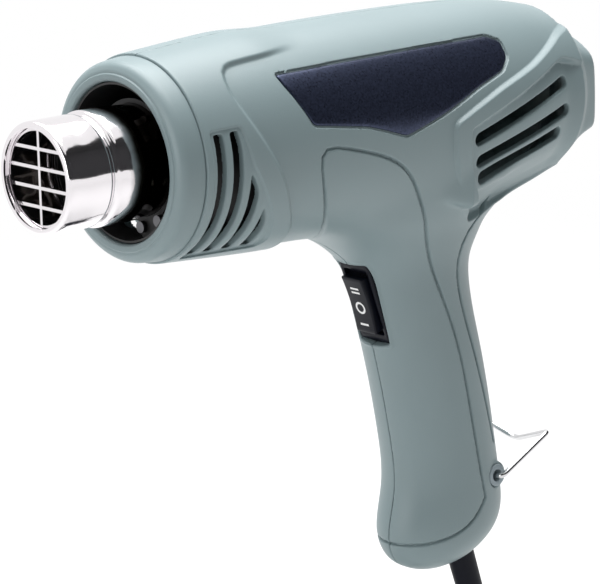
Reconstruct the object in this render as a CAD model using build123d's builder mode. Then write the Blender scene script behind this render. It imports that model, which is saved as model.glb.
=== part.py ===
from build123d import *
import math
import os

os.makedirs("parts", exist_ok=True)

# A pistol-grip hot-air gun. Lengths are millimetres. +X runs from the outlet to the tail,
# +Z is up, -Y is the left side, and the origin is the middle of the grip.

# Driving sizes
axis_height = 100.0  # barrel axis above the middle of the grip
nose_x = -134.0  # front plane of the nose ring
barrel_length = 197.0  # nose ring's front to the tail's rear face
barrel_radius = 35.8
handle_drop = 163.4  # barrel axis to the bottom of the handle
handle_depth = 44.6
handle_width = 37.4
wall = 2.5
fit_gap = 0.3  # between pieces that lie beside each other
snug_gap = 0.1  # between pieces that locate each other
running_gap = 0.06  # round a shaft or pin that turns
overrun = 5.0  # how far a cutter runs past what it cuts
side_reach = 2 * barrel_radius  # clear of both sides

barrel_axis = Axis((0, 0, axis_height), (1, 0, 0))


def along(depth):
    """X of a place that lies this far behind the nose plane."""
    return nose_x + depth


def disc_plane(depth):
    """Plane square to the barrel axis, this far behind the nose plane."""
    return Plane(origin=(along(depth), 0, axis_height), x_dir=(0, 1, 0), z_dir=(1, 0, 0))


# Outline of the housing, as shares of the sizes that they follow
barrel_line_share = (
    (0.048, 0.905),
    (0.132, 0.936),
    (0.228, 0.968),
    (0.330, 0.983),
    (0.457, 0.986),
    (0.599, 0.978),
    (0.716, 0.958),
    (0.812, 0.913),
    (0.873, 0.858),
    (0.924, 0.796),
)
dome_end_share = (0.975, 0.503)

# Height below the axis, middle, depth, width and how much of an inset lifts the section
handle_station_share = (
    (0.000, 0.580, 2.47, 1.60, 0.0),
    (0.150, 0.590, 2.18, 1.55, 0.0),
    (0.200, 0.594, 1.96, 1.42, 0.0),
    (0.235, 0.604, 1.60, 1.28, 0.0),
    (0.270, 0.616, 1.32, 1.17, 0.0),
    (0.306, 0.624, 1.11, 1.08, 0.0),
    (0.367, 0.633, 1.00, 1.01, 0.0),
    (0.520, 0.663, 0.97, 0.99, 0.0),
    (0.700, 0.692, 0.96, 0.99, 0.0),
    (0.820, 0.702, 1.00, 1.01, 0.1),
    (0.885, 0.697, 1.06, 1.02, 0.3),
    (0.925, 0.688, 1.00, 0.96, 0.5),
    (0.957, 0.678, 0.84, 0.81, 0.7),
    (0.982, 0.670, 0.60, 0.58, 0.9),
    (1.000, 0.665, 0.30, 0.30, 1.0),
)

# Depth, half width, underside, side top and crown of the air-intake module at the tail
tail_station_share = (
    (0.548, 0.84, -0.61, -0.17, -0.12),
    (0.629, 0.975, -0.77, -0.05, 0.01),
    (0.873, 0.755, -0.67, 0.40, 0.80),
    (0.964, 0.660, -0.545, 0.335, 0.585),
    (0.988, 0.630, -0.53, 0.31, 0.53),
    (1.000, 0.570, -0.46, 0.25, 0.45),
)
tail_corner = 4.0


def barrel_form(inset, rise):
    """The turned body of the barrel and its dome, drawn in by inset or swollen by rise."""
    grow = rise - inset
    skin_z = axis_height + grow
    line = [(along(s * barrel_length), skin_z + r * barrel_radius) for s, r in barrel_line_share]
    end_x = along(dome_end_share[0] * barrel_length) - inset
    end_z = axis_height + dome_end_share[1] * barrel_radius - inset
    with BuildPart() as form:
        with BuildSketch(Plane.XZ):
            with BuildLine():
                crown = Spline(*line)
                front = (line[0][0], axis_height)
                Polyline(crown @ 1, (end_x, end_z), (end_x, axis_height), front, crown @ 0)
            make_face()
        revolve(axis=barrel_axis)
    return form.part


def handle_form(inset):
    """The grip and the neck that flares into the barrel, lofted through front and rear half ellipses."""
    with BuildPart() as form:
        for drop, middle, deep, wide, lift in handle_station_share:
            height = axis_height - drop * handle_drop + lift * inset
            centre = (along(middle * barrel_length), 0)
            radii = (deep * handle_depth / 2 - inset, wide * handle_width / 2 - inset)
            with BuildSketch(Plane.XY.offset(height)):
                with BuildLine():
                    EllipticalCenterArc(centre, *radii, start_angle=90, arc_size=180)
                    EllipticalCenterArc(centre, *radii, start_angle=270, arc_size=180)
                make_face()
        loft()
    return form.part


def tail_form(inset, taller):
    """The air-intake module, a straight-sided loft that leaves the barrel and narrows to the rear."""
    with BuildPart() as form:
        for depth, half, low, side, crown in tail_station_share:
            x = along(depth * barrel_length) - inset * depth
            w = half * barrel_radius - inset
            with BuildSketch(Plane.YZ.offset(x)):
                with BuildLine():
                    z_low = axis_height + low * barrel_radius + inset - taller
                    z_side = axis_height + side * barrel_radius - inset + taller
                    z_crown = axis_height + crown * barrel_radius - inset + taller
                    Polyline((w, z_side), (w, z_low), (-w, z_low), (-w, z_side))
                    ThreePointArc((-w, z_side), (0, z_crown), (w, z_side))
                corner_face = make_face()
                fillet(corner_face.vertices(), tail_corner / (1 + inset / wall))
        loft(ruled=True)
    return form.part


def gun_form(inset):
    """The whole outer form of the housing, drawn in by inset."""
    barrel = barrel_form(inset, 0)
    handle = handle_form(inset)
    tail = tail_form(inset, 0)
    with BuildPart() as form:
        add(barrel)
        add(handle)
        add(tail)
    return form.part


def handle_at(height):
    """Middle, half depth and half width of the handle at this height."""
    drop = (axis_height - height) / handle_drop
    for upper, lower in zip(handle_station_share, handle_station_share[1:]):
        if upper[0] <= drop <= lower[0]:
            part_way = (drop - upper[0]) / (lower[0] - upper[0])
            middle, deep, wide = [u + part_way * (v - u) for u, v in zip(upper[1:4], lower[1:4])]
            return along(middle * barrel_length), deep * handle_depth / 2, wide * handle_width / 2


def ring(plane, outer, inner, length):
    """A plain tube that stands on a plane."""
    with BuildPart(mode=Mode.PRIVATE) as tube:
        with BuildSketch(plane):
            Circle(outer)
            Circle(inner, mode=Mode.SUBTRACT)
        extrude(amount=length)
    return tube.part


def rod(plane, radius, length):
    """A plain round bar that stands on a plane."""
    with BuildPart(mode=Mode.PRIVATE) as bar:
        with BuildSketch(plane):
            Circle(radius)
        extrude(amount=length)
    return bar.part


def side_plane(x, z, y):
    """Plane square to Y through a point, with its normal towards +Y."""
    return Plane(origin=(x, y, z), x_dir=(1, 0, 0), z_dir=(0, 1, 0))


def from_share(share):
    """A point of a side-view outline, from shares of the barrel's length and radius."""
    return (along(share[0] * barrel_length), axis_height + share[1] * barrel_radius)


def side_prism(shares, corner, grow):
    """A rounded side-view outline, grown by grow, run out to both sides of the gun."""
    with BuildPart(mode=Mode.PRIVATE) as solid:
        with BuildSketch(Plane.XZ) as outline:
            with BuildLine():
                Polyline(*[from_share(s) for s in shares], close=True)
            make_face()
            fillet(outline.vertices(), corner)
            if grow:
                offset(amount=grow)
        extrude(amount=side_reach, both=True)
    return solid.part


outer_form = gun_form(0)
inner_form = gun_form(wall)

# Front of the housing: a sleeve that stands proud of the barrel, with a swept rear edge
step_rise = 0.8
ring_depth = barrel_line_share[0][0] * barrel_length
step_top_share = ((0.048, 1.2), (0.345, 1.2), (0.335, 0.995), (0.165, 0.850))
step_edge_share = (
    (0.153, 0.600),
    (0.166, 0.282),
    (0.189, 0.000),
    (0.216, -0.296),
    (0.239, -0.561),
    (0.278, -1.200),
)
raised_barrel = barrel_form(0, step_rise)
with BuildPart() as front_sleeve:
    add(raised_barrel)
    with BuildSketch(Plane.XZ):
        with BuildLine():
            step_top = Polyline(*[from_share(s) for s in step_top_share])
            step_edge = Spline(step_top @ 1, *[from_share(s) for s in step_edge_share])
            Polyline(step_edge @ 1, (along(ring_depth), (step_edge @ 1).Y), step_top @ 0)
        make_face()
    extrude(amount=side_reach, both=True, mode=Mode.INTERSECT)

# Shallow work in the skin: the badge's seat, the grip panel's line and the back line
badge_depth = 0.9
badge_gap = 0.25
badge_corner = 3.0
badge_share = (
    (0.234, 0.715),
    (0.262, 0.260),
    (0.292, 0.165),
    (0.365, 0.065),
    (0.471, -0.022),
    (0.549, 0.092),
    (0.640, 0.277),
    (0.735, 0.470),
    (0.742, 0.590),
    (0.722, 0.715),
    (0.480, 0.745),
)
line_width = 0.8
line_depth = 0.7
panel_line_share = (
    (0.385, -1.040),
    (0.300, -0.400),
    (0.290, -0.010),
    (0.350, -0.035),
    (0.475, -0.335),
    (0.545, -0.860),
    (0.600, -1.450),
    (0.652, -2.090),
    (0.690, -2.930),
    (0.721, -3.830),
    (0.617, -4.190),
    (0.552, -4.240),
)
back_line_share = (
    (0.735, -0.870),
    (0.672, -1.180),
    (0.693, -2.140),
    (0.762, -3.330),
)

badge_floor = barrel_form(badge_depth, 0)
with BuildPart() as badge_seats:
    add(side_prism(badge_share, badge_corner, badge_gap))
    add(badge_floor, mode=Mode.SUBTRACT)
line_floor_barrel = barrel_form(line_depth, 0)
line_floor_handle = handle_form(line_depth)
with BuildPart() as line_cuts:
    with BuildSketch(Plane.XZ):
        for shares in (panel_line_share, back_line_share):
            with BuildLine():
                Spline(*[from_share(s) for s in shares])
            trace(line_width=line_width)
    extrude(amount=side_reach, both=True)
    add(line_floor_barrel, mode=Mode.SUBTRACT)
    add(line_floor_handle, mode=Mode.SUBTRACT)

# Front side vents: four slots that run round the barrel, in a sunk panel
vent_sink = 0.5
vent_width = 3.6
vent_pitch = 6.9
vent_first = 15.6  # middle of the first slot behind the nose plane
vent_tops_share = (0.315, 0.320, -0.060, -0.500)
vent_bottoms_share = (-0.820, -0.745, -0.765, -0.790)
vent_panel_share = (
    (0.061, 0.350),
    (0.124, 0.350),
    (0.140, 0.000),
    (0.166, -0.270),
    (0.195, -0.520),
    (0.216, -0.800),
    (0.195, -0.860),
    (0.061, -0.860),
)
vent_floor = barrel_form(vent_sink, 0)
vent_corner = 1.5
with BuildPart() as vent_panels:
    add(side_prism(vent_panel_share, vent_corner, 0))
    add(vent_floor, mode=Mode.SUBTRACT)

# Rear side vents: a sunk panel in the air-intake module, with three slanted slots
intake_sink = 2.6
intake_corner = 3.0
intake_panel_share = (
    (0.633, -0.130),
    (0.873, 0.290),
    (0.940, 0.270),
    (0.940, -0.380),
    (0.640, -0.670),
)
intake_slot_share = (
    ((0.640, -0.215), (0.880, 0.180)),
    ((0.652, -0.440), (0.885, -0.085)),
    ((0.660, -0.610), (0.870, -0.300)),
)
intake_slot_width = 4.0
pad_tall = 1.8 * barrel_radius  # thicker wall behind the sunk panel, cut out of the hollow
intake_floor = tail_form(intake_sink, barrel_radius)
intake_pad_floor = tail_form(intake_sink + wall, barrel_radius)
with BuildPart() as intake_panels:
    add(side_prism(intake_panel_share, intake_corner, 0))
    add(intake_floor, mode=Mode.SUBTRACT)
pad_front = from_share(intake_panel_share[0])[0] - 2 * wall
pad_back = from_share(intake_panel_share[-2])[0] + 2 * wall
with BuildPart() as intake_pads:
    with BuildSketch(Plane.XZ):
        with Locations(((pad_front + pad_back) / 2, axis_height)):
            Rectangle(pad_back - pad_front, pad_tall)
    extrude(amount=side_reach, both=True)
    add(intake_pad_floor, mode=Mode.SUBTRACT)
with BuildPart() as vent_cuts:
    with BuildSketch(Plane.XZ):
        for row, (top_share, bottom_share) in enumerate(zip(vent_tops_share, vent_bottoms_share)):
            slot_length = (top_share - bottom_share) * barrel_radius
            slot_middle = axis_height + (top_share + bottom_share) / 2 * barrel_radius
            with Locations((along(vent_first + row * vent_pitch), slot_middle)):
                SlotOverall(slot_length, vent_width, rotation=90)
        for first, second in intake_slot_share:
            start = Vector(*from_share(first))
            finish = Vector(*from_share(second))
            run = finish - start
            with Locations(Location((start + finish) * 0.5)):
                SlotOverall(run.length, intake_slot_width, rotation=math.degrees(math.atan2(run.Y, run.X)))
    extrude(amount=side_reach, both=True)

# Rocker switch: its bezel lies in a flat seat in the handle's front, under the trigger finger
switch_tilt = 18.9
switch_z = 36.3
switch_sunk = 0.9
bezel_length = 31.0
bezel_width = 14.6
bezel_thick = 2.0
bezel_edge = 0.6
body_length = 28.4
body_width = 12.8
body_depth = 19.0
well_length = 24.0
well_width = 10.6
well_depth = 9.0
switch_middle, switch_deep, switch_wide = handle_at(switch_z)
switch_tilt_rad = math.radians(switch_tilt)
switch_plane = Plane(
    origin=(switch_middle - switch_deep + switch_sunk, 0, switch_z),
    x_dir=(0, -1, 0),
    z_dir=(-math.cos(switch_tilt_rad), 0, -math.sin(switch_tilt_rad)),
)

# Hanging bail: its feet turn in two bushes near the handle's rear edge
bail_z = -31.1
bail_back_share = 0.51
wire_radius = 1.0
bail_reach = 25.7  # pivot to the cross bar
bail_bow = 8.0
bail_bend = 2.2
bail_rest = 26.9  # degrees above level
bush_bore = wire_radius + running_gap
bush_radius = 2.5
bush_flange = 4.0
bush_flange_thick = 0.9
bush_length = 4.6
eye_radius = 4.9
eye_proud = 0.3
bail_middle, bail_deep, bail_wide = handle_at(bail_z)
bail_x = bail_middle + bail_back_share * bail_deep
eye_y = bail_wide * math.sqrt(1 - bail_back_share**2) + eye_proud
bail_leg_y = eye_y + bush_flange_thick + snug_gap + bail_bend

# Mains cord: it leaves the handle's bottom at the back, through a sleeve
cord_radius = 3.5
cord_z = -57.6
cord_out_share = 0.74
cord_tilt = 17.6
sleeve_root = 4.9
sleeve_tip = 4.3
sleeve_length = 46.0
sleeve_flange = 7.6
sleeve_flange_thick = 2.4
collar_radius = 10.0
cord_middle, cord_deep, cord_wide = handle_at(cord_z)
cord_dir = Vector(math.sin(math.radians(cord_tilt)), 0, -math.cos(math.radians(cord_tilt)))
cord_exit = Vector(cord_middle + cord_out_share * cord_deep, 0, cord_z)


def cord_plane(run):
    """Plane square to the cord, this far past the handle's bottom along it."""
    return Plane(origin=cord_exit + cord_dir * run, x_dir=(0, 1, 0), z_dir=cord_dir)


flange_back = -8.0  # run of the sleeve flange's inner face
cord_start = -30.0
sleeve_back = flange_back - 2.0

# Cord clamp, screwed to a seat in the left half
clamp_run = -17.0
clamp_half = 9.6
clamp_height = 6.0
clamp_thick = 4.4
clamp_gap = 0.5
clamp_screw_out = 6.6
small_shank = 1.25
small_head = 2.5
small_head_thick = 1.6
small_grip = 7.0

# Housing screws: bosses in both halves, wells on the right
screw_radius = 1.45
screw_hole = screw_radius + running_gap
screw_head = 3.1
screw_head_thick = 2.2
screw_seat_y = 8.0
screw_end_y = -7.0
screw_well = screw_head + fit_gap
boss_radius = 4.3
boss_share = (
    (0.345, -0.845),
    (0.345, 0.845),
    (0.825, 0.560),
    (0.705, -1.830),
    (0.660, -2.860),
    (0.628, -4.160),
)

# Air duct, fan and motor on the barrel's axis
duct_radius = 27.5
duct_wall = 1.6
duct_cone_end = 84.0
duct_end = 110.2
duct_neck = 19.0
rib_places = (88.0, 101.0)
rib_thick = 2.0

clamp_plane = Plane(
    origin=cord_exit + cord_dir * clamp_run,
    x_dir=(math.cos(math.radians(cord_tilt)), 0, math.sin(math.radians(cord_tilt))),
    z_dir=(0, 1, 0),
)
with BuildPart() as clamp_seat:
    with BuildSketch(clamp_plane.offset(-clamp_gap)):
        Rectangle(2 * clamp_half, clamp_height)
        with Locations((-clamp_screw_out, 0), (clamp_screw_out, 0)):
            Circle(small_shank + running_gap, mode=Mode.SUBTRACT)
    extrude(amount=-side_reach)
    add(rod(cord_plane(cord_start), cord_radius + snug_gap, handle_depth), mode=Mode.SUBTRACT)

with BuildPart() as cavity:
    add(inner_form)
    for place in boss_share:
        boss_x, boss_z = from_share(place)
        add(rod(side_plane(boss_x, boss_z, -side_reach), boss_radius, 2 * side_reach), mode=Mode.SUBTRACT)
    for place in rib_places:
        add(ring(disc_plane(place), 2 * barrel_radius, duct_radius + fit_gap, rib_thick), mode=Mode.SUBTRACT)
    add(rod(cord_plane(flange_back - rib_thick), collar_radius, handle_depth), mode=Mode.SUBTRACT)
    add(intake_pads.part, mode=Mode.SUBTRACT)
    add(clamp_seat.part, mode=Mode.SUBTRACT)
with BuildPart() as bail_eyes:
    for side in (-1, 1):
        eye_plane = Plane(origin=(bail_x, side * eye_y, bail_z), x_dir=(1, 0, 0), z_dir=(0, -side, 0))
        add(rod(eye_plane, eye_radius, bush_length + wall / 2))
with BuildPart() as seat_cuts:
    with BuildSketch(switch_plane.offset(-bezel_thick)):
        Rectangle(bezel_width + snug_gap, bezel_length + snug_gap)
    extrude(amount=overrun + bezel_thick)
    with BuildSketch(switch_plane):
        Rectangle(body_width + snug_gap, body_length + snug_gap)
    extrude(amount=-body_depth)
    for side in (-1, 1):
        eye_plane = Plane(origin=(bail_x, side * eye_y, bail_z), x_dir=(1, 0, 0), z_dir=(0, side, 0))
        add(rod(eye_plane, bush_flange + fit_gap, overrun))
        add(rod(eye_plane, bush_radius + snug_gap / 2, -bush_length - overrun))
    add(rod(cord_plane(cord_start), sleeve_root + snug_gap, handle_depth))
    add(rod(cord_plane(flange_back), sleeve_flange + snug_gap, sleeve_flange_thick + snug_gap))

with BuildPart() as housing:
    add(outer_form)
    add(front_sleeve.part)
    add(cavity.part, mode=Mode.SUBTRACT)
    add(bail_eyes.part)
    add(badge_seats.part, mode=Mode.SUBTRACT)
    add(line_cuts.part, mode=Mode.SUBTRACT)
    add(vent_panels.part, mode=Mode.SUBTRACT)
    add(intake_panels.part, mode=Mode.SUBTRACT)
    add(vent_cuts.part, mode=Mode.SUBTRACT)
    add(seat_cuts.part, mode=Mode.SUBTRACT)

with BuildPart() as housing_left:
    add(housing.part)
    split(bisect_by=Plane.XZ, keep=Keep.TOP)
    for place in boss_share:
        boss_x, boss_z = from_share(place)
        add(rod(side_plane(boss_x, boss_z, screw_end_y - wall), screw_hole, side_reach), mode=Mode.SUBTRACT)
housing_left.part.label = "housing_left"
export_step(housing_left.part, "parts/housing_left.step")

with BuildPart() as housing_right:
    add(housing.part)
    split(bisect_by=Plane.XZ, keep=Keep.BOTTOM)
    for place in boss_share:
        boss_x, boss_z = from_share(place)
        add(rod(side_plane(boss_x, boss_z, -overrun), screw_hole, side_reach), mode=Mode.SUBTRACT)
        add(rod(side_plane(boss_x, boss_z, screw_seat_y), screw_well, side_reach), mode=Mode.SUBTRACT)
housing_right.part.label = "housing_right"
export_step(housing_right.part, "parts/housing_right.step")

# Nose ring: the turned front band, with a spigot inside the two halves
nose_hole = 26.0
lip_radius = 28.8
lip_edge = 0.7
lip_round = 2.4
rim_radius = barrel_line_share[0][1] * barrel_radius + step_rise
rim_drop = 1.0
spigot_radius = barrel_line_share[0][1] * barrel_radius - wall - snug_gap
spigot_depth = 3.0
with BuildPart() as nose_ring:
    with BuildSketch(Plane.XZ):
        with BuildLine():
            front_lip = (along(0), axis_height + lip_radius)
            shoulder = (along(lip_round), axis_height + rim_radius - rim_drop)
            round_part = RadiusArc(front_lip, shoulder, lip_radius - nose_hole + lip_round)
            Polyline(
                shoulder,
                (along(ring_depth), axis_height + rim_radius),
                (along(ring_depth), axis_height + spigot_radius),
                (along(ring_depth + spigot_depth), axis_height + spigot_radius),
                (along(ring_depth + spigot_depth), axis_height + nose_hole),
                (along(lip_edge), axis_height + nose_hole),
                (along(0), axis_height + nose_hole + lip_edge),
                front_lip,
            )
        make_face()
    revolve(axis=barrel_axis)
nose_ring.part.label = "nose_ring"
export_step(nose_ring.part, "parts/nose_ring.step")

# Heat shield: a black sleeve inside the nose, with oval cooling holes
shield_radius = nose_hole - fit_gap
shield_wall = 0.7
shield_front = 1.6
shield_back = 57.0
shield_holes = 8
shield_hole_length = 10.0
shield_hole_width = 5.0
shield_hole_places = (15.5, 42.0)
with BuildPart() as heat_shield:
    with BuildSketch(disc_plane(shield_front)):
        Circle(shield_radius)
        Circle(shield_radius - shield_wall, mode=Mode.SUBTRACT)
    extrude(amount=shield_back - shield_front)
    for place in shield_hole_places:
        for turn in range(shield_holes):
            angle = 2 * math.pi * (turn + 0.5) / shield_holes
            hole_plane = Plane(
                origin=(along(place), 0, axis_height),
                x_dir=(1, 0, 0),
                z_dir=(0, math.cos(angle), math.sin(angle)),
            )
            with BuildSketch(hole_plane):
                SlotOverall(shield_hole_length, shield_hole_width)
            extrude(amount=shield_radius + overrun, mode=Mode.SUBTRACT)
heat_shield.part.label = "heat_shield"
export_step(heat_shield.part, "parts/heat_shield.step")

# Outlet tube: bright steel, rolled in at the mouth, with a bead and a rear flange
outlet_reach = 32.3  # nose plane to the mouth
mouth_radius = 15.9
tube_front_radius = 17.4
tube_radius = 18.2
tube_wall = 0.8
rim_roll = 2.0
bead_place = 12.5  # in front of the nose plane
bead_length = 2.4
bead_depth = 0.5
flange_radius = 24.0
flange_thick = 1.0
tube_back = shield_back + flange_thick


def tube_line(inset):
    """Side-view points of the tube's skin, from the mouth to the flange."""
    return (
        (-outlet_reach + rim_roll, axis_height + tube_front_radius - inset),
        (-bead_place - bead_length, axis_height + tube_front_radius - inset),
        (-bead_place - bead_length / 2, axis_height + tube_front_radius - bead_depth - inset),
        (-bead_place, axis_height + tube_radius - inset),
    )


with BuildPart() as outlet_tube:
    with BuildSketch(Plane.XZ):
        with BuildLine():
            skin = [(along(d), z) for d, z in tube_line(0)]
            inside = [(along(d), z) for d, z in reversed(tube_line(tube_wall))]
            mouth = (along(-outlet_reach), axis_height + mouth_radius)
            mouth_inside = (along(-outlet_reach + tube_wall), axis_height + mouth_radius - tube_wall / 2)
            RadiusArc(mouth, skin[0], rim_roll)
            Polyline(
                *skin,
                (along(tube_back - flange_thick), axis_height + tube_radius),
                (along(tube_back - flange_thick), axis_height + flange_radius),
                (along(tube_back), axis_height + flange_radius),
                (along(tube_back), axis_height + tube_radius - tube_wall),
                *inside,
                mouth_inside,
                mouth,
            )
        make_face()
    revolve(axis=barrel_axis)
outlet_tube.part.label = "outlet_tube"
export_step(outlet_tube.part, "parts/outlet_tube.step")

# Outlet grille: a ring with one upright and four cross bars, behind the rolled rim
grille_radius = tube_front_radius - tube_wall - snug_gap
grille_ring = 1.6
grille_thick = 1.2
grille_bar = 1.1
grille_rows_share = (0.56, 0.19, -0.19, -0.56)
grille_front = -outlet_reach + rim_roll
with BuildPart() as outlet_grille:
    with BuildSketch(disc_plane(grille_front)):
        with BuildSketch(mode=Mode.PRIVATE) as grille_bars:
            Rectangle(grille_bar, 2 * grille_radius)
            for row in grille_rows_share:
                with Locations((0, row * grille_radius)):
                    Rectangle(2 * grille_radius, grille_bar)
            Circle(grille_radius - grille_ring / 2, mode=Mode.INTERSECT)
        Circle(grille_radius)
        Circle(grille_radius - grille_ring, mode=Mode.SUBTRACT)
        add(grille_bars.sketch)
    extrude(amount=grille_thick)
outlet_grille.part.label = "outlet_grille"
export_step(outlet_grille.part, "parts/outlet_grille.step")

# Tube spider: centres the outlet tube in the heat shield on three feet with two screws each
spider_place = 8.0
spider_thick = 1.0
spider_feet = 3
spider_first = -110.0  # degrees from +Y
spider_pitch_radius = 21.4
spider_screw_apart = 25.0  # degrees
spider_ring_width = 1.4
spider_foot = 13.0
with BuildPart() as tube_spider:
    with BuildSketch(disc_plane(spider_place)):
        Circle(tube_radius + snug_gap + spider_ring_width)
        with BuildSketch(mode=Mode.PRIVATE) as feet:
            with PolarLocations(spider_pitch_radius, spider_feet, start_angle=spider_first):
                Rectangle(2 * (shield_radius - tube_radius), spider_foot)
            Circle(shield_radius - shield_wall - snug_gap, mode=Mode.INTERSECT)
        add(feet.sketch)
        Circle(tube_radius + snug_gap, mode=Mode.SUBTRACT)
        for half in (-0.5, 0.5):
            first = spider_first + half * spider_screw_apart
            with PolarLocations(spider_pitch_radius, spider_feet, start_angle=first):
                Circle(small_shank + running_gap, mode=Mode.SUBTRACT)
    extrude(amount=spider_thick)
tube_spider.part.label = "tube_spider"
export_step(tube_spider.part, "parts/tube_spider.step")

spider_head = 1.9
with BuildPart() as spider_screws:
    for half in (-0.5, 0.5):
        first = spider_first + half * spider_screw_apart
        with BuildSketch(disc_plane(spider_place)):
            with PolarLocations(spider_pitch_radius, spider_feet, start_angle=first):
                Circle(spider_head)
        extrude(amount=-small_head_thick)
        with BuildSketch(disc_plane(spider_place)):
            with PolarLocations(spider_pitch_radius, spider_feet, start_angle=first):
                Circle(small_shank)
        extrude(amount=spider_thick + small_head_thick)
spider_screws.part.label = "spider_screws"
export_step(spider_screws.part, "parts/spider_screws.step")

# Heater: crossed mica plates carry the wire inside a mica liner
liner_radius = tube_radius - tube_wall - fit_gap
liner_wall = 0.5
liner_front = -bead_place + 2.0
liner_back = 56.0
base_thick = 3.0
base_hole = 4.2
base_hole_out = 9.4
former_half = 12.6
former_thick = 1.2
former_front = -9.0
coil_turns = 9
coil_wire = 0.5
coil_radius = former_half + fit_gap + coil_wire
coil_first = -4.0
coil_pitch = 5.2
with BuildPart() as heater_liner:
    add(ring(disc_plane(liner_front), liner_radius, liner_radius - liner_wall, liner_back - liner_front))
heater_liner.part.label = "heater_liner"
export_step(heater_liner.part, "parts/heater_liner.step")

with BuildPart() as heater_base:
    with BuildSketch(disc_plane(liner_back - base_thick)):
        Circle(liner_radius - liner_wall - snug_gap)
        with PolarLocations(base_hole_out, 4, start_angle=45):
            Circle(base_hole, mode=Mode.SUBTRACT)
    extrude(amount=base_thick)
heater_base.part.label = "heater_base"
export_step(heater_base.part, "parts/heater_base.step")

with BuildPart() as heater_former:
    with BuildSketch(disc_plane(former_front)):
        Rectangle(2 * former_half, former_thick)
        Rectangle(former_thick, 2 * former_half)
    extrude(amount=liner_back - base_thick - former_front)
heater_former.part.label = "heater_former"
export_step(heater_former.part, "parts/heater_former.step")


def biarc(start, start_dir, end, end_dir):
    """Two tangent arcs that leave start along start_dir and reach end along end_dir."""
    chord = end - start
    both = chord.dot(start_dir + end_dir)
    spread = 2 * (1 - start_dir.dot(end_dir))
    reach = (math.sqrt(both**2 + spread * chord.dot(chord)) - both) / spread
    first = start + start_dir * reach
    second = end - end_dir * reach
    middle = (first + second) * 0.5
    TangentArc(start, middle, tangent=start_dir)
    TangentArc(middle, end, tangent=(second - first).normalized())


def wound_wire(place, stations):
    """Path of tangent arcs through stations; place gives a point and heading for each."""
    with BuildLine() as path:
        for first, second in zip(stations, stations[1:]):
            biarc(*place(first), *place(second))
    return path.line


def least_gap(place, turns, width, steps=72):
    """Smallest clear space between a winding's own turns, measured on points."""
    count = int(turns * steps)
    points = [place(k / steps)[0] for k in range(count + 1)]
    near = [
        (points[i] - points[j]).length
        for i in range(count + 1)
        for j in range(i + steps // 2, count + 1)
    ]
    return min(near) - width


def heater_place(turn):
    """Point and heading on the heater winding after this many turns."""
    angle = 2 * math.pi * turn
    point = Vector(
        along(coil_first + coil_pitch * turn),
        coil_radius * math.cos(angle),
        axis_height + coil_radius * math.sin(angle),
    )
    sweep_rate = 2 * math.pi * coil_radius
    way = Vector(coil_pitch, -sweep_rate * math.sin(angle), sweep_rate * math.cos(angle))
    return point, way.normalized()


heater_path = wound_wire(heater_place, [k / 2 for k in range(2 * coil_turns + 1)])
with BuildPart() as heater_coil:
    with BuildSketch(Plane(origin=heater_path @ 0, z_dir=heater_path % 0)):
        RegularPolygon(coil_wire, 6)
    sweep(path=heater_path)
heater_coil.part.label = "heater_coil"
export_step(heater_coil.part, "parts/heater_coil.step")
print("heater winding gap", round(least_gap(heater_place, coil_turns, 2 * coil_wire), 2))

cutout_radius = 3.6
cutout_thick = 2.6
cutout_place = 43.0
cutout_up = 5.4
with BuildPart() as thermal_cutout:
    cutout_plane = side_plane(along(cutout_place), axis_height + cutout_up, former_thick / 2)
    add(rod(cutout_plane, cutout_radius, cutout_thick))
thermal_cutout.part.label = "thermal_cutout"
export_step(thermal_cutout.part, "parts/thermal_cutout.step")

# Air duct with the motor's spider at its rear
duct_flange = 24.4
duct_flange_thick = 1.6
duct_opening = liner_radius
spider_rib = 2.0
motor_radius = 14.0
motor_length = 38.0
arm_width = 5.0
arm_count = 3
motor_screw_out = 9.0
shaft_radius = 1.6
hub_clear = 5.2
with BuildPart() as fan_duct:
    with BuildSketch(Plane.XZ):
        with BuildLine():
            Polyline(
                (along(tube_back), axis_height + duct_opening),
                (along(tube_back), axis_height + duct_flange),
                (along(tube_back + duct_flange_thick), axis_height + duct_flange),
                (along(tube_back + duct_flange_thick), axis_height + duct_neck),
                (along(duct_cone_end), axis_height + duct_radius),
                (along(duct_end), axis_height + duct_radius),
                (along(duct_end), axis_height + duct_radius - duct_wall),
                (along(duct_cone_end), axis_height + duct_radius - duct_wall),
                (along(tube_back + duct_flange_thick), axis_height + duct_opening),
                close=True,
            )
        make_face()
    revolve(axis=barrel_axis)
    with BuildSketch(disc_plane(duct_end - spider_rib)):
        Circle(motor_radius)
        with PolarLocations(duct_radius / 2, arm_count, start_angle=90):
            Rectangle(duct_radius - duct_wall / 2, arm_width)
        Circle(hub_clear, mode=Mode.SUBTRACT)
        with PolarLocations(motor_screw_out, 2, start_angle=0):
            Circle(small_shank + running_gap, mode=Mode.SUBTRACT)
    extrude(amount=spider_rib)
fan_duct.part.label = "fan_duct"
export_step(fan_duct.part, "parts/fan_duct.step")

shaft_front = 89.0
shaft_back = 146.0
tab_radius = 1.5
tab_length = 1.0
tab_out = 8.0
screw_deep = 4.0
with BuildPart() as motor_can:
    add(rod(disc_plane(duct_end), motor_radius, motor_length))
    with BuildSketch(disc_plane(duct_end + motor_length)):
        with PolarLocations(tab_out, 2):
            Circle(tab_radius)
    extrude(amount=tab_length)
    with BuildSketch(disc_plane(duct_end)):
        Circle(shaft_radius + running_gap)
    extrude(amount=shaft_back + fit_gap - duct_end, mode=Mode.SUBTRACT)
    with BuildSketch(disc_plane(duct_end)):
        with PolarLocations(motor_screw_out, 2):
            Circle(small_shank + running_gap)
    extrude(amount=screw_deep, mode=Mode.SUBTRACT)
motor_can.part.label = "motor_can"
export_step(motor_can.part, "parts/motor_can.step")

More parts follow.
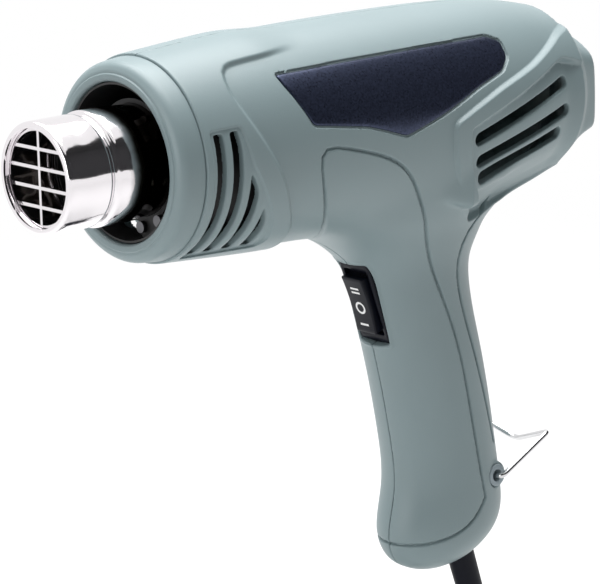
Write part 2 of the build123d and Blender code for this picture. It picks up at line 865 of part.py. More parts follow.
with BuildPart() as motor_shaft:
    add(rod(disc_plane(shaft_front), shaft_radius, shaft_back - shaft_front))
motor_shaft.part.label = "motor_shaft"
export_step(motor_shaft.part, "parts/motor_shaft.step")

with BuildPart() as motor_screws:
    with BuildSketch(disc_plane(duct_end - spider_rib)):
        with PolarLocations(motor_screw_out, 2):
            Circle(small_head)
    extrude(amount=-small_head_thick)
    with BuildSketch(disc_plane(duct_end - spider_rib - small_head_thick / 2)):
        with PolarLocations(motor_screw_out, 2):
            Circle(small_shank)
    extrude(amount=small_head_thick / 2 + spider_rib + screw_deep - fit_gap)
motor_screws.part.label = "motor_screws"
export_step(motor_screws.part, "parts/motor_screws.step")

# Fan: pitched blades on a hub pressed on the shaft
fan_front = 90.0
fan_hub = 6.5
fan_depth = 9.0
fan_blades = 9
fan_tip = duct_radius - duct_wall - 1.9
fan_chord = 10.0
fan_blade_thick = 1.2
fan_root_pitch = 50.0
fan_tip_pitch = 28.0
with BuildPart() as fan_blade:
    for out, pitch in ((fan_hub - 1, fan_root_pitch), (fan_tip, fan_tip_pitch)):
        blade_plane = Plane(
            origin=(along(fan_front + fan_depth / 2), 0, axis_height + out),
            x_dir=(0, 1, 0),
            z_dir=(0, 0, 1),
        )
        with BuildSketch(blade_plane):
            Rectangle(fan_chord, fan_blade_thick, rotation=pitch)
    loft()
with BuildPart() as fan:
    add(ring(disc_plane(fan_front), fan_hub, shaft_radius, fan_depth))
    for count in range(fan_blades):
        add(fan_blade.part.rotate(barrel_axis, count * 360 / fan_blades))
    add(rod(disc_plane(fan_front - overrun), shaft_radius, fan_depth + 2 * overrun), mode=Mode.SUBTRACT)
fan.part.label = "fan"
export_step(fan.part, "parts/fan.step")

# Motor board with its rectifier diodes and a capacitor
board_radius = 13.0
board_thick = 1.6
board_place = duct_end + motor_length + tab_length
diode_radius = 1.4
diode_length = 5.2
diode_step = 4.0
with BuildPart() as motor_board:
    add(rod(disc_plane(board_place), board_radius, board_thick))
motor_board.part.label = "motor_board"
export_step(motor_board.part, "parts/motor_board.step")

capacitor_size = 9.0
capacitor_thick = 4.0
capacitor_tall = 7.0
with BuildPart() as board_parts:
    diode_x = along(board_place + board_thick) + diode_radius + snug_gap
    diode_plane = Plane(
        origin=(diode_x, 0, axis_height - capacitor_thick),
        x_dir=(1, 0, 0),
        z_dir=(0, 1, 0),
    )
    with BuildSketch(diode_plane.offset(-diode_length / 2)):
        with Locations((0, 0), (0, diode_step), (0, -diode_step)):
            Circle(diode_radius)
    extrude(amount=diode_length)
    with BuildSketch(disc_plane(board_place + board_thick)):
        with Locations((0, capacitor_size / 2 + capacitor_thick / 2)):
            Rectangle(capacitor_size, capacitor_thick)
    extrude(amount=capacitor_tall)
board_parts.part.label = "board_parts"
export_step(board_parts.part, "parts/board_parts.step")

# Rocker switch: body with bezel, rocker on its own pins, and three blades
rocker_half = 10.7
rocker_width = 9.8
rocker_proud = 2.8
rocker_dip = 0.7
rocker_skirt = 2.0
rocker_belly = 4.2
rocker_depth = 6.0
pivot_depth = 3.0
pivot_radius = 1.2
pivot_length = 1.2
blade_width = 4.8
blade_thick = 0.8
blade_length = 8.0
blade_step = 9.0
rocker_side = Plane(
    origin=switch_plane.origin - switch_plane.x_dir * rocker_width / 2,
    x_dir=switch_plane.y_dir,
    z_dir=switch_plane.x_dir,
)
with BuildPart() as switch_body:
    with BuildSketch(switch_plane):
        RectangleRounded(bezel_width, bezel_length, bezel_edge * 2)
    extrude(amount=-bezel_thick)
    bezel_face = switch_body.faces().sort_by(Axis(switch_plane.origin, switch_plane.z_dir))[-1]
    chamfer(bezel_face.edges(), bezel_edge)
    with BuildSketch(switch_plane.offset(-bezel_thick)):
        Rectangle(body_width, body_length)
    extrude(amount=bezel_thick - body_depth)
    with BuildSketch(switch_plane):
        Rectangle(well_width, well_length)
    extrude(amount=-well_depth, mode=Mode.SUBTRACT)
    pin_hole = rocker_side.offset(-(body_width - rocker_width) / 2 - overrun)
    with BuildSketch(pin_hole):
        with Locations((0, -pivot_depth)):
            Circle(pivot_radius + running_gap)
    extrude(amount=body_width + 2 * overrun, mode=Mode.SUBTRACT)
switch_body.part.label = "switch_body"
export_step(switch_body.part, "parts/switch_body.step")

with BuildPart() as switch_rocker:
    with BuildSketch(rocker_side):
        with BuildLine():
            Polyline(
                (-rocker_half, rocker_proud),
                (0, rocker_proud - rocker_dip),
                (rocker_half, rocker_proud),
                (rocker_half - bezel_edge, -rocker_skirt),
                (rocker_belly, -rocker_depth),
                (-rocker_belly, -rocker_depth),
                (-rocker_half + bezel_edge, -rocker_skirt),
                close=True,
            )
        make_face()
    extrude(amount=rocker_width)
    with BuildSketch(rocker_side.offset(-pivot_length)):
        with Locations((0, -pivot_depth)):
            Circle(pivot_radius)
    extrude(amount=rocker_width + 2 * pivot_length)
switch_rocker.part.label = "switch_rocker"
export_step(switch_rocker.part, "parts/switch_rocker.step")

with BuildPart() as switch_blades:
    with BuildSketch(switch_plane.offset(-body_depth)):
        with Locations((0, 0), (0, blade_step), (0, -blade_step)):
            Rectangle(blade_width, blade_thick)
    extrude(amount=-blade_length)
switch_blades.part.label = "switch_blades"
export_step(switch_blades.part, "parts/switch_blades.step")

# Hanging bail: bent wire whose cross bar bows down, with a flanged bush at each foot
bail_foot_y = eye_y - bush_length
bail_rest_rad = math.radians(bail_rest)
bail_out = Vector(math.cos(bail_rest_rad), 0, math.sin(bail_rest_rad))
bail_down = Vector(math.sin(bail_rest_rad), 0, -math.cos(bail_rest_rad))
bail_pivot = Vector(bail_x, 0, bail_z)
bail_points = [
    bail_pivot + Vector(0, -bail_foot_y, 0),
    bail_pivot + Vector(0, -bail_leg_y, 0),
    bail_pivot + bail_out * bail_reach + Vector(0, -bail_leg_y, 0),
    bail_pivot + bail_out * bail_reach + bail_down * bail_bow,
    bail_pivot + bail_out * bail_reach + Vector(0, bail_leg_y, 0),
    bail_pivot + Vector(0, bail_leg_y, 0),
    bail_pivot + Vector(0, bail_foot_y, 0),
]
bail_nose = 4 * bail_bend
bail_radii = (bail_bend, bail_bend, bail_nose, bail_bend, bail_bend)
with BuildPart() as hanging_bail:
    with BuildLine() as bail_path:
        FilletPolyline(*bail_points, radius=bail_radii)
    with BuildSketch(Plane(origin=bail_points[0], z_dir=(0, -1, 0))):
        Circle(wire_radius)
    sweep(path=bail_path.line)
hanging_bail.part.label = "hanging_bail"
export_step(hanging_bail.part, "parts/hanging_bail.step")


def bail_bush(side):
    """Flanged bush in the handle's eye on this side."""
    seat = Plane(origin=(bail_x, side * eye_y, bail_z), x_dir=(1, 0, 0), z_dir=(0, side, 0))
    with BuildPart(mode=Mode.PRIVATE) as bush:
        add(ring(seat, bush_flange, bush_bore, bush_flange_thick))
        add(ring(seat, bush_radius, bush_bore, -bush_length))
    return bush.part


with BuildPart() as bail_bush_left:
    add(bail_bush(-1))
bail_bush_left.part.label = "bail_bush_left"
export_step(bail_bush_left.part, "parts/bail_bush_left.step")

with BuildPart() as bail_bush_right:
    add(bail_bush(1))
bail_bush_right.part.label = "bail_bush_right"
export_step(bail_bush_right.part, "parts/bail_bush_right.step")

# Blank badges, one patch of the barrel's skin on each side
badge_skin = barrel_form(0, 0)
with BuildPart() as badges:
    add(side_prism(badge_share, badge_corner, 0))
    add(badge_skin, mode=Mode.INTERSECT)
    add(badge_floor, mode=Mode.SUBTRACT)
with BuildPart() as badge_left:
    add(badges.part.solids().sort_by(Axis.Y)[0])
badge_left.part.label = "badge_left"
export_step(badge_left.part, "parts/badge_left.step")

with BuildPart() as badge_right:
    add(badges.part.solids().sort_by(Axis.Y)[-1])
badge_right.part.label = "badge_right"
export_step(badge_right.part, "parts/badge_right.step")

# Fasteners
with BuildPart() as housing_screws:
    for place in boss_share:
        boss_x, boss_z = from_share(place)
        add(rod(side_plane(boss_x, boss_z, screw_end_y), screw_radius, screw_seat_y - screw_end_y))
        add(rod(side_plane(boss_x, boss_z, screw_seat_y), screw_head, screw_head_thick))
housing_screws.part.label = "housing_screws"
export_step(housing_screws.part, "parts/housing_screws.step")

with BuildPart() as cord_clamp:
    with BuildSketch(clamp_plane.offset(clamp_gap)):
        Rectangle(2 * clamp_half, clamp_height)
        with Locations((-clamp_screw_out, 0), (clamp_screw_out, 0)):
            Circle(small_shank + running_gap, mode=Mode.SUBTRACT)
    extrude(amount=clamp_thick)
    add(rod(cord_plane(cord_start), cord_radius + snug_gap, handle_depth), mode=Mode.SUBTRACT)
cord_clamp.part.label = "cord_clamp"
export_step(cord_clamp.part, "parts/cord_clamp.step")

with BuildPart() as clamp_screws:
    with BuildSketch(clamp_plane.offset(clamp_gap + clamp_thick)):
        with Locations((-clamp_screw_out, 0), (clamp_screw_out, 0)):
            Circle(small_head)
    extrude(amount=small_head_thick)
    with BuildSketch(clamp_plane.offset(clamp_gap + clamp_thick - small_grip)):
        with Locations((-clamp_screw_out, 0), (clamp_screw_out, 0)):
            Circle(small_shank)
    extrude(amount=small_grip)
clamp_screws.part.label = "clamp_screws"
export_step(clamp_screws.part, "parts/clamp_screws.step")

# Cord sleeve: a tapered rubber boot with a flange caught between the halves
sleeve_taper_start = 3.0
with BuildPart() as cord_sleeve:
    add(ring(cord_plane(flange_back), sleeve_flange, cord_radius + snug_gap, sleeve_flange_thick))
    with BuildSketch(cord_plane(sleeve_back)):
        Circle(sleeve_root)
    extrude(amount=sleeve_taper_start - sleeve_back)
    with BuildSketch(cord_plane(sleeve_taper_start)):
        Circle(sleeve_root)
    with BuildSketch(cord_plane(sleeve_length)):
        Circle(sleeve_tip)
    loft()
    bore = rod(cord_plane(cord_start), cord_radius + snug_gap, sleeve_length - 2 * cord_start)
    add(bore, mode=Mode.SUBTRACT)
cord_sleeve.part.label = "cord_sleeve"
export_step(cord_sleeve.part, "parts/cord_sleeve.step")

# Mains cord: a straight run in the handle, then bends to the floor, a coil and a plug
cord_drop = 28.0
cord_step = 26.0
cord_bend = 36.0
lead_falls = (60.0, 30.0)  # degrees below level
coil_out = 51.0
coil_layer = 7.8
winding_pitch = 7.7
winding_turns = 6.25
winding_ease = 0.1  # turns that soften the winding's reversal
climb_turns = 0.8
end_run = 24.0
end_bend_run = 34.0


def swept_cord(line, start, way):
    """Round cord swept along a path that leaves start along way."""
    with BuildPart(mode=Mode.PRIVATE) as cord:
        with BuildSketch(Plane(origin=start, z_dir=way)):
            Circle(cord_radius)
        sweep(path=line)
    return cord.part


def winding_place(centre, turn):
    """Point and heading of the wound cord: inward on the floor, then outward on top."""
    middle = winding_turns / 2
    from_middle = math.sqrt((turn - middle) ** 2 + winding_ease**2)
    inner = coil_out - winding_pitch * math.sqrt(middle**2 + winding_ease**2)
    out = inner + winding_pitch * from_middle
    out_rate = winding_pitch * (turn - middle) / from_middle
    climb = min(1, max(0, (turn - middle) / climb_turns + 0.5))
    rise_rate = coil_layer * 6 * climb * (1 - climb) / climb_turns
    angle = 2 * math.pi * turn
    outward = Vector(math.cos(angle), math.sin(angle), 0)
    onward = Vector(-math.sin(angle), math.cos(angle), 0)
    point = centre + outward * out + Vector(0, 0, coil_layer * climb**2 * (3 - 2 * climb))
    way = outward * out_rate + onward * (2 * math.pi * out) + Vector(0, 0, rise_rate)
    return point, way.normalized()


with BuildPart() as cord_inner:
    add(rod(cord_plane(cord_start), cord_radius, sleeve_length - cord_start))
cord_inner.part.label = "cord_inner"
export_step(cord_inner.part, "parts/cord_inner.step")

coil_way = winding_place(Vector(), 0)[1]
lead_points = [cord_exit + cord_dir * sleeve_length, cord_exit + cord_dir * (sleeve_length + cord_drop)]
for fall in lead_falls:
    fall_rad = math.radians(fall)
    step = Vector(0, math.cos(fall_rad), -math.sin(fall_rad)) * cord_step
    lead_points.append(lead_points[-1] + step)
lead_points.append(lead_points[-1] + coil_way * cord_step)
with BuildLine() as lead_path:
    FilletPolyline(*lead_points, radius=cord_bend)
with BuildPart() as cord_lead:
    add(swept_cord(lead_path.line, lead_points[0], cord_dir))
cord_lead.part.label = "cord_lead"
export_step(cord_lead.part, "parts/cord_lead.step")

coil_centre = lead_points[-1] - Vector(coil_out, 0, 0)


def coil_place(turn):
    """Point and heading on the cord's winding after this many turns."""
    return winding_place(coil_centre, turn)


coil_middle = winding_turns / 2
coil_stations = [k / 2 for k in range(6)]
coil_stations += [coil_middle - climb_turns / 2, coil_middle - climb_turns / 4, coil_middle]
coil_stations += [winding_turns - turn for turn in reversed(coil_stations[:-1])]
coil_line = wound_wire(coil_place, coil_stations)
with BuildPart() as cord_coil:
    add(swept_cord(coil_line, *coil_place(0)))
cord_coil.part.label = "cord_coil"
export_step(cord_coil.part, "parts/cord_coil.step")
print("cord coil gap", round(least_gap(coil_place, winding_turns, 2 * cord_radius), 2))

coil_end, end_way = coil_place(winding_turns)
plug_rise = 3.5
drop_step = end_way * end_run - Vector(0, 0, coil_layer)
turned_way = end_way.rotate(Axis.Z, 45)
plug_way = Vector(0, -1, 0)
end_points = [coil_end, coil_end + end_way * end_run]
end_points.append(end_points[-1] + drop_step)
end_points.append(end_points[-1] + end_way * end_bend_run * 0.7)
end_points.append(end_points[-1] + turned_way * end_bend_run + Vector(0, 0, plug_rise))
end_points.append(end_points[-1] + plug_way * end_bend_run * 0.7)
with BuildLine() as end_path:
    FilletPolyline(*end_points, radius=cord_bend)
with BuildPart() as cord_end:
    add(swept_cord(end_path.line, coil_end, end_way))
cord_end.part.label = "cord_end"
export_step(cord_end.part, "parts/cord_end.step")

tie_thick = 1.2
tie_width = 5.0
tie_gap = 0.4
inner_point = coil_place(coil_middle)[0] - coil_centre
coil_inner = math.hypot(inner_point.X, inner_point.Y)
tie_across = coil_out - coil_inner + 2 * cord_radius + 2 * tie_gap
tie_tall = coil_layer + 2 * cord_radius + 2 * tie_gap
tie_plane = Plane(
    origin=coil_centre + Vector(-(coil_out + coil_inner) / 2, 0, coil_layer / 2),
    x_dir=(1, 0, 0),
    z_dir=(0, 1, 0),
)
with BuildPart() as cord_tie:
    with BuildSketch(tie_plane.offset(-tie_width / 2)):
        RectangleRounded(tie_across + 2 * tie_thick, tie_tall + 2 * tie_thick, cord_radius + tie_thick)
        RectangleRounded(tie_across, tie_tall, cord_radius, mode=Mode.SUBTRACT)
    extrude(amount=tie_width)
cord_tie.part.label = "cord_tie"
export_step(cord_tie.part, "parts/cord_tie.step")

# Plug with two round pins
plug_sections = ((0.0, 12.0, 11.0), (16.0, 29.0, 13.4), (46.0, 36.0, 14.0), (58.0, 34.0, 13.0))
plug_corner = 5.0
pin_radius = 2.4
pin_apart = 19.0
pin_length = 19.0
plug_rear = end_points[-1]
plug_level = Plane(origin=plug_rear, x_dir=plug_way.cross(Vector(0, 0, 1)), z_dir=plug_way)
with BuildPart() as plug_body:
    for run, across, tall in plug_sections:
        with BuildSketch(plug_level.offset(run)):
            RectangleRounded(across, tall, plug_corner)
    loft()
plug_body.part.label = "plug_body"
export_step(plug_body.part, "parts/plug_body.step")

with BuildPart() as plug_pins:
    with BuildSketch(plug_level.offset(plug_sections[-1][0])):
        with Locations((-pin_apart / 2, 0), (pin_apart / 2, 0)):
            Circle(pin_radius)
    extrude(amount=pin_length)
plug_pins.part.label = "plug_pins"
export_step(plug_pins.part, "parts/plug_pins.step")
cord_pieces = (cord_inner, cord_lead, cord_coil, cord_end)
cord_volume = sum(piece.part.volume for piece in cord_pieces)
print("cord length", round(cord_volume / (math.pi * cord_radius**2)))
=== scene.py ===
import math
import time

import bpy
import numpy as np
from mathutils import Matrix, Vector


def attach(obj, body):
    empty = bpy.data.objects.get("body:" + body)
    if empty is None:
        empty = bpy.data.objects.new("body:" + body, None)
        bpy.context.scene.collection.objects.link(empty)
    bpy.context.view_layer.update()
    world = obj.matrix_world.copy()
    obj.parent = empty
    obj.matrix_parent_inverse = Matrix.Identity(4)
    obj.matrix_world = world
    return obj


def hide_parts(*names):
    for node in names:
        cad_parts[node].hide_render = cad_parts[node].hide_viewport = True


started = time.time()


def note(words):
    print(f"{time.time() - started:6.1f} s  {words}", flush=True)


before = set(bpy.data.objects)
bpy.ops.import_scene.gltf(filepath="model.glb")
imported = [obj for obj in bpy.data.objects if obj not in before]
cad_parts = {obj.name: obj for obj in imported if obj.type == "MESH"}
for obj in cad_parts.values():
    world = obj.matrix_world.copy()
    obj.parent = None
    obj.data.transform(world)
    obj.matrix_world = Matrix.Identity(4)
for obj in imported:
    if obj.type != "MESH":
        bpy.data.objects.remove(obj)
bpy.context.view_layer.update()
scene = bpy.context.scene
note("frame loaded")

# Lengths below are millimetres unless a note says metres. Gun places count from the nose plane,
# on the barrel's axis; part places are the model's own.
noseX, axisZ = -134.0, 100.0


def fromGun(points):
    return (np.asarray(points, float) + (noseX, 0, axisZ)) / 1000


def fromPart(points):
    return np.asarray(points, float) / 1000


def unit(ways):
    return ways / np.linalg.norm(ways, axis=-1, keepdims=True)


# Camera: the photograph's angle, left of the nose and a little above; its place is in metres
cameraView = {"azimuth": -41.18, "elevation": 13.41, "roll": 1.58, "lens": 210, "sensor": 36,
              "place": (-0.8047, -0.8531, 0.3151), "clip": (0.05, 30)}


def placeCamera():
    turn, lift, roll = (math.radians(cameraView[name]) for name in ("azimuth", "elevation", "roll"))
    back = Vector((math.sin(turn) * math.cos(lift), -math.cos(turn) * math.cos(lift), math.sin(lift)))
    side = (-back).cross(Vector((0, 0, 1))).normalized()
    above = side.cross(-back)
    right = side * math.cos(roll) - above * math.sin(roll)
    upright = side * math.sin(roll) + above * math.cos(roll)
    data = bpy.data.cameras.new("camera")
    data.lens, data.sensor_width = cameraView["lens"], cameraView["sensor"]
    data.clip_start, data.clip_end = cameraView["clip"]
    camera = bpy.data.objects.new("camera", data)
    scene.collection.objects.link(camera)
    axes = Matrix((right, upright, back)).transposed().to_4x4()
    camera.matrix_world = Matrix.Translation(cameraView["place"]) @ axes
    scene.camera = camera


placeCamera()
scene.view_settings.view_transform = "Standard"
scene.view_settings.look = "None"


# Shader maths: a signal is one number or colour that a node gives
class Signal:
    def __init__(self, tree, socket):
        self.tree, self.socket = tree, socket

    def maths(self, operation, *values):
        return self.tree.node("ShaderNodeMath", {"operation": operation}, dict(enumerate(values)))

    def __add__(self, other):
        return self.maths("ADD", self, other)

    def __sub__(self, other):
        return self.maths("SUBTRACT", self, other)

    def __rsub__(self, other):
        return self.maths("SUBTRACT", other, self)

    def __mul__(self, other):
        return self.maths("MULTIPLY", self, other)

    def __pow__(self, other):
        return self.maths("POWER", self, other)

    __radd__, __rmul__ = __add__, __mul__

    def most(self, other):
        return self.maths("MAXIMUM", self, other)

    def ramp(self, low, high):
        settings = {"interpolation_type": "SMOOTHSTEP"}
        return self.tree.node("ShaderNodeMapRange", settings, {0: self, 1: low, 2: high})

    def blend(self, first, second):
        sockets = {0: self, 6: (*first, 1), 7: (*second, 1)}
        return self.tree.node("ShaderNodeMix", {"data_type": "RGBA"}, sockets, 2)


class Tree:
    def __init__(self, nodeTree):
        self.nodes, self.links = nodeTree.nodes, nodeTree.links

    # One node: its settings first, then the values or links of its sockets; gives an output
    def node(self, kind, settings=None, sockets=None, output=0):
        made = self.nodes.new(kind)
        for name, value in (settings or {}).items():
            setattr(made, name, value)
        for name, value in (sockets or {}).items():
            if isinstance(value, Signal):
                self.links.new(value.socket, made.inputs[name])
            else:
                made.inputs[name].default_value = value
        return Signal(self, made.outputs[output])


class Finish(Tree):
    def __init__(self, name, colour, roughness, metallic=0.0, specular=0.5):
        self.material = bpy.data.materials.new(name)
        self.material.use_nodes = True
        self.material.diffuse_color = (*colour, 1)
        super().__init__(self.material.node_tree)
        self.shader = self.nodes["Principled BSDF"]
        plain = {"Base Color": (*colour, 1), "Roughness": roughness, "Metallic": metallic,
                 "Specular IOR Level": specular}
        for socket, value in plain.items():
            self.shader.inputs[socket].default_value = value
        self.place = self.node("ShaderNodeTexCoord", output="Object")

    def noise(self, scale, detail):
        sockets = {"Vector": self.place, "Scale": scale, "Detail": detail, "Roughness": 0.5}
        return self.node("ShaderNodeTexNoise", None, sockets, "Fac")

    def axis(self, which):
        return self.node("ShaderNodeSeparateXYZ", None, {0: self.place}, which)

    def feed(self, socket, signal):
        self.links.new(signal.socket, self.shader.inputs[socket])

    def relief(self, signal, distance):
        sockets = {"Height": signal, "Distance": distance, "Strength": 1.0}
        self.feed("Normal", self.node("ShaderNodeBump", None, sockets, "Normal"))


def scaled(colour, factor):
    return tuple(min(1, c * factor) for c in colour)


# Moulded plastic: fine grain, and a broad drift of tone and gloss
def moulded(name, colour, roughness=0.42, grain=0.00003, tone=0.06, specular=0.5):
    finish = Finish(name, colour, roughness, specular=specular)
    broad = finish.noise(28, 3)
    finish.feed("Base Color", broad.blend(scaled(colour, 1 - tone), scaled(colour, 1 + tone)))
    finish.feed("Roughness", broad * 0.1 + (roughness - 0.05))
    finish.relief(finish.noise(2600, 2), grain)
    return finish.material


# Bare metal; a wave is the slow unevenness that bends reflections in thin plate
def bare(name, colour, roughness, grain=0.00001, wave=0.0):
    finish = Finish(name, colour, roughness, metallic=1.0)
    fine = finish.noise(900, 3)
    finish.feed("Roughness", fine * 0.12 + (roughness - 0.06))
    finish.feed("Base Color", finish.noise(60, 3).blend(scaled(colour, 0.9), colour))
    finish.relief(finish.noise(75, 1) + fine * (grain / wave) if wave else fine, wave or grain)
    return finish.material


# Bright plate with painted shade: it turns brown-black where the tube goes into the shaded nose; the places
# are metres
def shadedInNose(name, colour, noseShade, bright=-0.1425, dark=-0.1375):
    finish = Finish(name, colour, 0.08, metallic=1.0)
    fine = finish.noise(900, 3)
    finish.feed("Roughness", fine * 0.1 + 0.04)
    edge = finish.axis(0) + finish.noise(160, 2) * 0.002
    # Painted shade: bright in front of the nose, brown-black inside it
    finish.feed("Base Color", edge.ramp(bright, dark).blend(colour, noseShade))
    finish.relief(finish.noise(75, 1) + fine * 0.005, 0.0006)
    return finish.material


# Dark paint with fine metal flake
def flaked(name, colour, roughness):
    finish = Finish(name, colour, roughness, metallic=0.75)
    flake = finish.noise(1500, 2)
    finish.feed("Roughness", flake * 0.16 + (roughness - 0.08))
    finish.feed("Base Color", flake.ramp(0.3, 0.7).blend(scaled(colour, 0.75), scaled(colour, 1.25)))
    finish.relief(flake, 0.000004)
    return finish.material


finishes = {
    "shell": moulded("shell_plastic", (0.208, 0.273, 0.286), 0.42),
    "badge": flaked("badge_flake", (0.042, 0.052, 0.092), 0.3),
    "chrome": bare("bright_plate", (0.86, 0.83, 0.85), 0.08, 0.000003, 0.0006),
    # The outlet tube's plate carries painted shade inside the nose
    "tube": shadedInNose("outlet_plate", (0.86, 0.83, 0.85), (0.035, 0.028, 0.022)),
    # Steel darkened to paint the shade inside the nose, for the spider's screws
    "shadedSteel": bare("steel_painted_shade", (0.16, 0.16, 0.17), 0.3),
    "steel": bare("zinc_steel", (0.6, 0.6, 0.61), 0.25),
    "wire": bare("bail_wire", (0.72, 0.72, 0.73), 0.14, 0.000004),
    # Black paint on the heat shield; on the tube spider and the heater liner this black is painted shade
    # inside the nose
    "blackPaintAndShade": moulded("black_paint_and_painted_shade", (0.014, 0.014, 0.015), 0.5),
    "black": moulded("black_moulding", (0.01, 0.01, 0.012), 0.4, specular=0.3),
    "switch": moulded("switch_black", (0.004, 0.005, 0.01), 0.34, 0.00001, specular=0.16),
    "white": moulded("mark_white", (0.8, 0.8, 0.8), 0.5),
    "rubber": moulded("rubber", (0.004, 0.005, 0.01), 0.5, specular=0.15),
    # Mica, ceramic and heater wire are darkened to paint the shade inside the nose
    "mica": moulded("mica", (0.035, 0.028, 0.02), 0.45),
    "ceramic": moulded("ceramic", (0.06, 0.056, 0.05), 0.7),
    "heater": bare("heater_wire", (0.2, 0.17, 0.15), 0.4),
    "nylon": moulded("nylon", (0.6, 0.57, 0.5), 0.45),
    "board": moulded("board", (0.05, 0.16, 0.07), 0.4),
    "bush": moulded("grey_bush", (0.27, 0.33, 0.36), 0.35),
    "brass": bare("brass", (0.8, 0.58, 0.25), 0.25),
}
note("finishes made")


def addPiece(name, data, body, nodes, finish):
    piece = bpy.data.objects.new(name, data)
    scene.collection.objects.link(piece)
    data.materials.append(finishes[finish])
    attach(piece, body)
    if nodes:
        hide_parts(*nodes)
    return piece


def meshOf(name, points, faces, smooth=True):
    data = bpy.data.meshes.new(name)
    points, faces = np.asarray(points, np.float32), np.asarray(faces, np.int32)
    corners = faces.shape[1]
    data.vertices.add(len(points))
    data.vertices.foreach_set("co", points.ravel())
    data.loops.add(faces.size)
    data.loops.foreach_set("vertex_index", faces.ravel())
    data.polygons.add(len(faces))
    data.polygons.foreach_set("loop_start", np.arange(0, faces.size, corners, dtype=np.int32))
    data.polygons.foreach_set("use_smooth", np.full(len(faces), smooth))
    data.update(calc_edges=True)
    data.validate()
    return data


# Four-cornered faces of a grid, whose rows and columns may close on themselves
def gridFaces(rows, columns, joinRows=False, joinColumns=False):
    i = np.arange(rows if joinRows else rows - 1)[:, None]
    j = np.arange(columns if joinColumns else columns - 1)[None, :]
    below, beside = (i + 1) % rows * columns, (j + 1) % columns
    corners = (i * columns + j, i * columns + beside, below + beside, below + j)
    return np.stack(corners, -1).reshape(-1, 4)


sharpAngle = 40  # degrees


# Rings of points with walls between neighbours. The last ring joins the first, or a fan closes
# each end; the sign of the volume says which way round the faces go.
def ringMesh(name, rings, joined=False):
    rings = np.asarray(rings, float)
    rows, around = rings.shape[:2]
    points, quads, fans = rings.reshape(-1, 3), gridFaces(rows, around, joined, True), np.zeros((0, 3), int)
    if not joined:
        first, last = np.arange(around), (rows - 1) * around
        after = (first + 1) % around
        points = np.vstack([points, rings[0].mean(0), rings[-1].mean(0)])
        low, high = np.full(around, len(points) - 2), np.full(around, len(points) - 1)
        fans = np.vstack([np.stack([low, after, first], 1),
                          np.stack([high, last + first, last + after], 1)])
    corners = points[np.vstack([quads[:, :3], quads[:, (0, 2, 3)], fans])]
    if np.einsum("ij,ij->", corners[:, 0], np.cross(corners[:, 1], corners[:, 2])) < 0:
        quads, fans = quads[:, ::-1], fans[:, ::-1]
    data = bpy.data.meshes.new(name)
    data.from_pydata((points / 1000).tolist(), [], quads.tolist() + fans.tolist())
    data.shade_smooth()
    data.set_sharp_from_angle(angle=math.radians(sharpAngle))
    return data


# A closed profile with its corners rounded: each corner is (run, radius, rounding), and a
# rounding is the curve (1 - t)^2 before + 2 t (1 - t) corner + t^2 after
def eased(corners, steps):
    out, count = [], len(corners)
    for i, (a, b, rounding) in enumerate(corners):
        here = np.array((a, b), float)
        if rounding <= 0:
            out.append(here)
            continue
        before = np.array(corners[i - 1][:2], float) - here
        after = np.array(corners[(i + 1) % count][:2], float) - here
        cut = min(rounding, 0.48 * np.linalg.norm(before), 0.48 * np.linalg.norm(after))
        p, q = here + unit(before) * cut, here + unit(after) * cut
        t = np.linspace(0, 1, steps)[:, None]
        out.extend((1 - t) ** 2 * p + 2 * t * (1 - t) * here + t * t * q)
    return np.array(out)


# A turned piece: (run, radius) points of a closed profile go round a straight axis, so that
# place = origin + run * way + radius * (cos a * across + sin a * other)
def turned(name, origin, way, corners, steps, around):
    way = unit(np.array(way, float))
    across = unit(np.cross(way, (0, 0, 1)))
    profile = eased(corners, steps)
    angle = np.linspace(0, 2 * math.pi, around, endpoint=False)[:, None]
    ring = np.cos(angle) * across + np.sin(angle) * np.cross(way, across)
    rings = np.asarray(origin, float) + profile[:, 0, None, None] * way + profile[:, 1, None, None] * ring
    return ringMesh(name, rings, True)


# Natural cubic through points, as a function of x
def smoothLine(xs, ys):
    xs, ys = np.asarray(xs, float), np.asarray(ys, float)
    step, count = np.diff(xs), len(xs)
    grid, right = np.eye(count), np.zeros(count)
    for i in range(1, count - 1):
        grid[i, i - 1:i + 2] = step[i - 1], 2 * (step[i - 1] + step[i]), step[i]
        right[i] = 6 * ((ys[i + 1] - ys[i]) / step[i] - (ys[i] - ys[i - 1]) / step[i - 1])
    bend = np.linalg.solve(grid, right)

    def at(x):
        x = np.clip(x, xs[0], xs[-1])
        i = np.clip(np.searchsorted(xs, x) - 1, 0, count - 2)
        before, after, h = x - xs[i], xs[i + 1] - x, step[i]
        cubic = (bend[i] * after ** 3 + bend[i + 1] * before ** 3) / (6 * h)
        low, high = ys[i] / h - bend[i] * h / 6, ys[i + 1] / h - bend[i + 1] * h / 6
        return cubic + low * after + high * before
    return at


# 0 below 0, 1 above 1, and 3 x^2 - 2 x^3 between them
def ease(x):
    x = np.clip(x, 0, 1)
    return x * x * (3 - 2 * x)


# Plug: sections along a straight run, each a rounded oblong with place = wide * cos^k along x
# and tall * sin^k along z, ribbed on top and below, and two round pins that keep their CAD shape
plug = {
    "rear": (-113.87, 66.98, -160.15), "square": 0.62, "runs": (0, 6, 16, 30, 46, 58),
    "wides": (5.2, 8.0, 14.5, 17.0, 18.0, 17.0), "talls": (5.0, 5.6, 6.7, 6.9, 7.0, 6.5),
    "face": ((57.2, 0), (57.6, 0.15), (58.0, 0.5)),
    "rib": 0.35, "ribPitch": 4.0, "ribsFrom": 14, "ribsTo": 38,
}


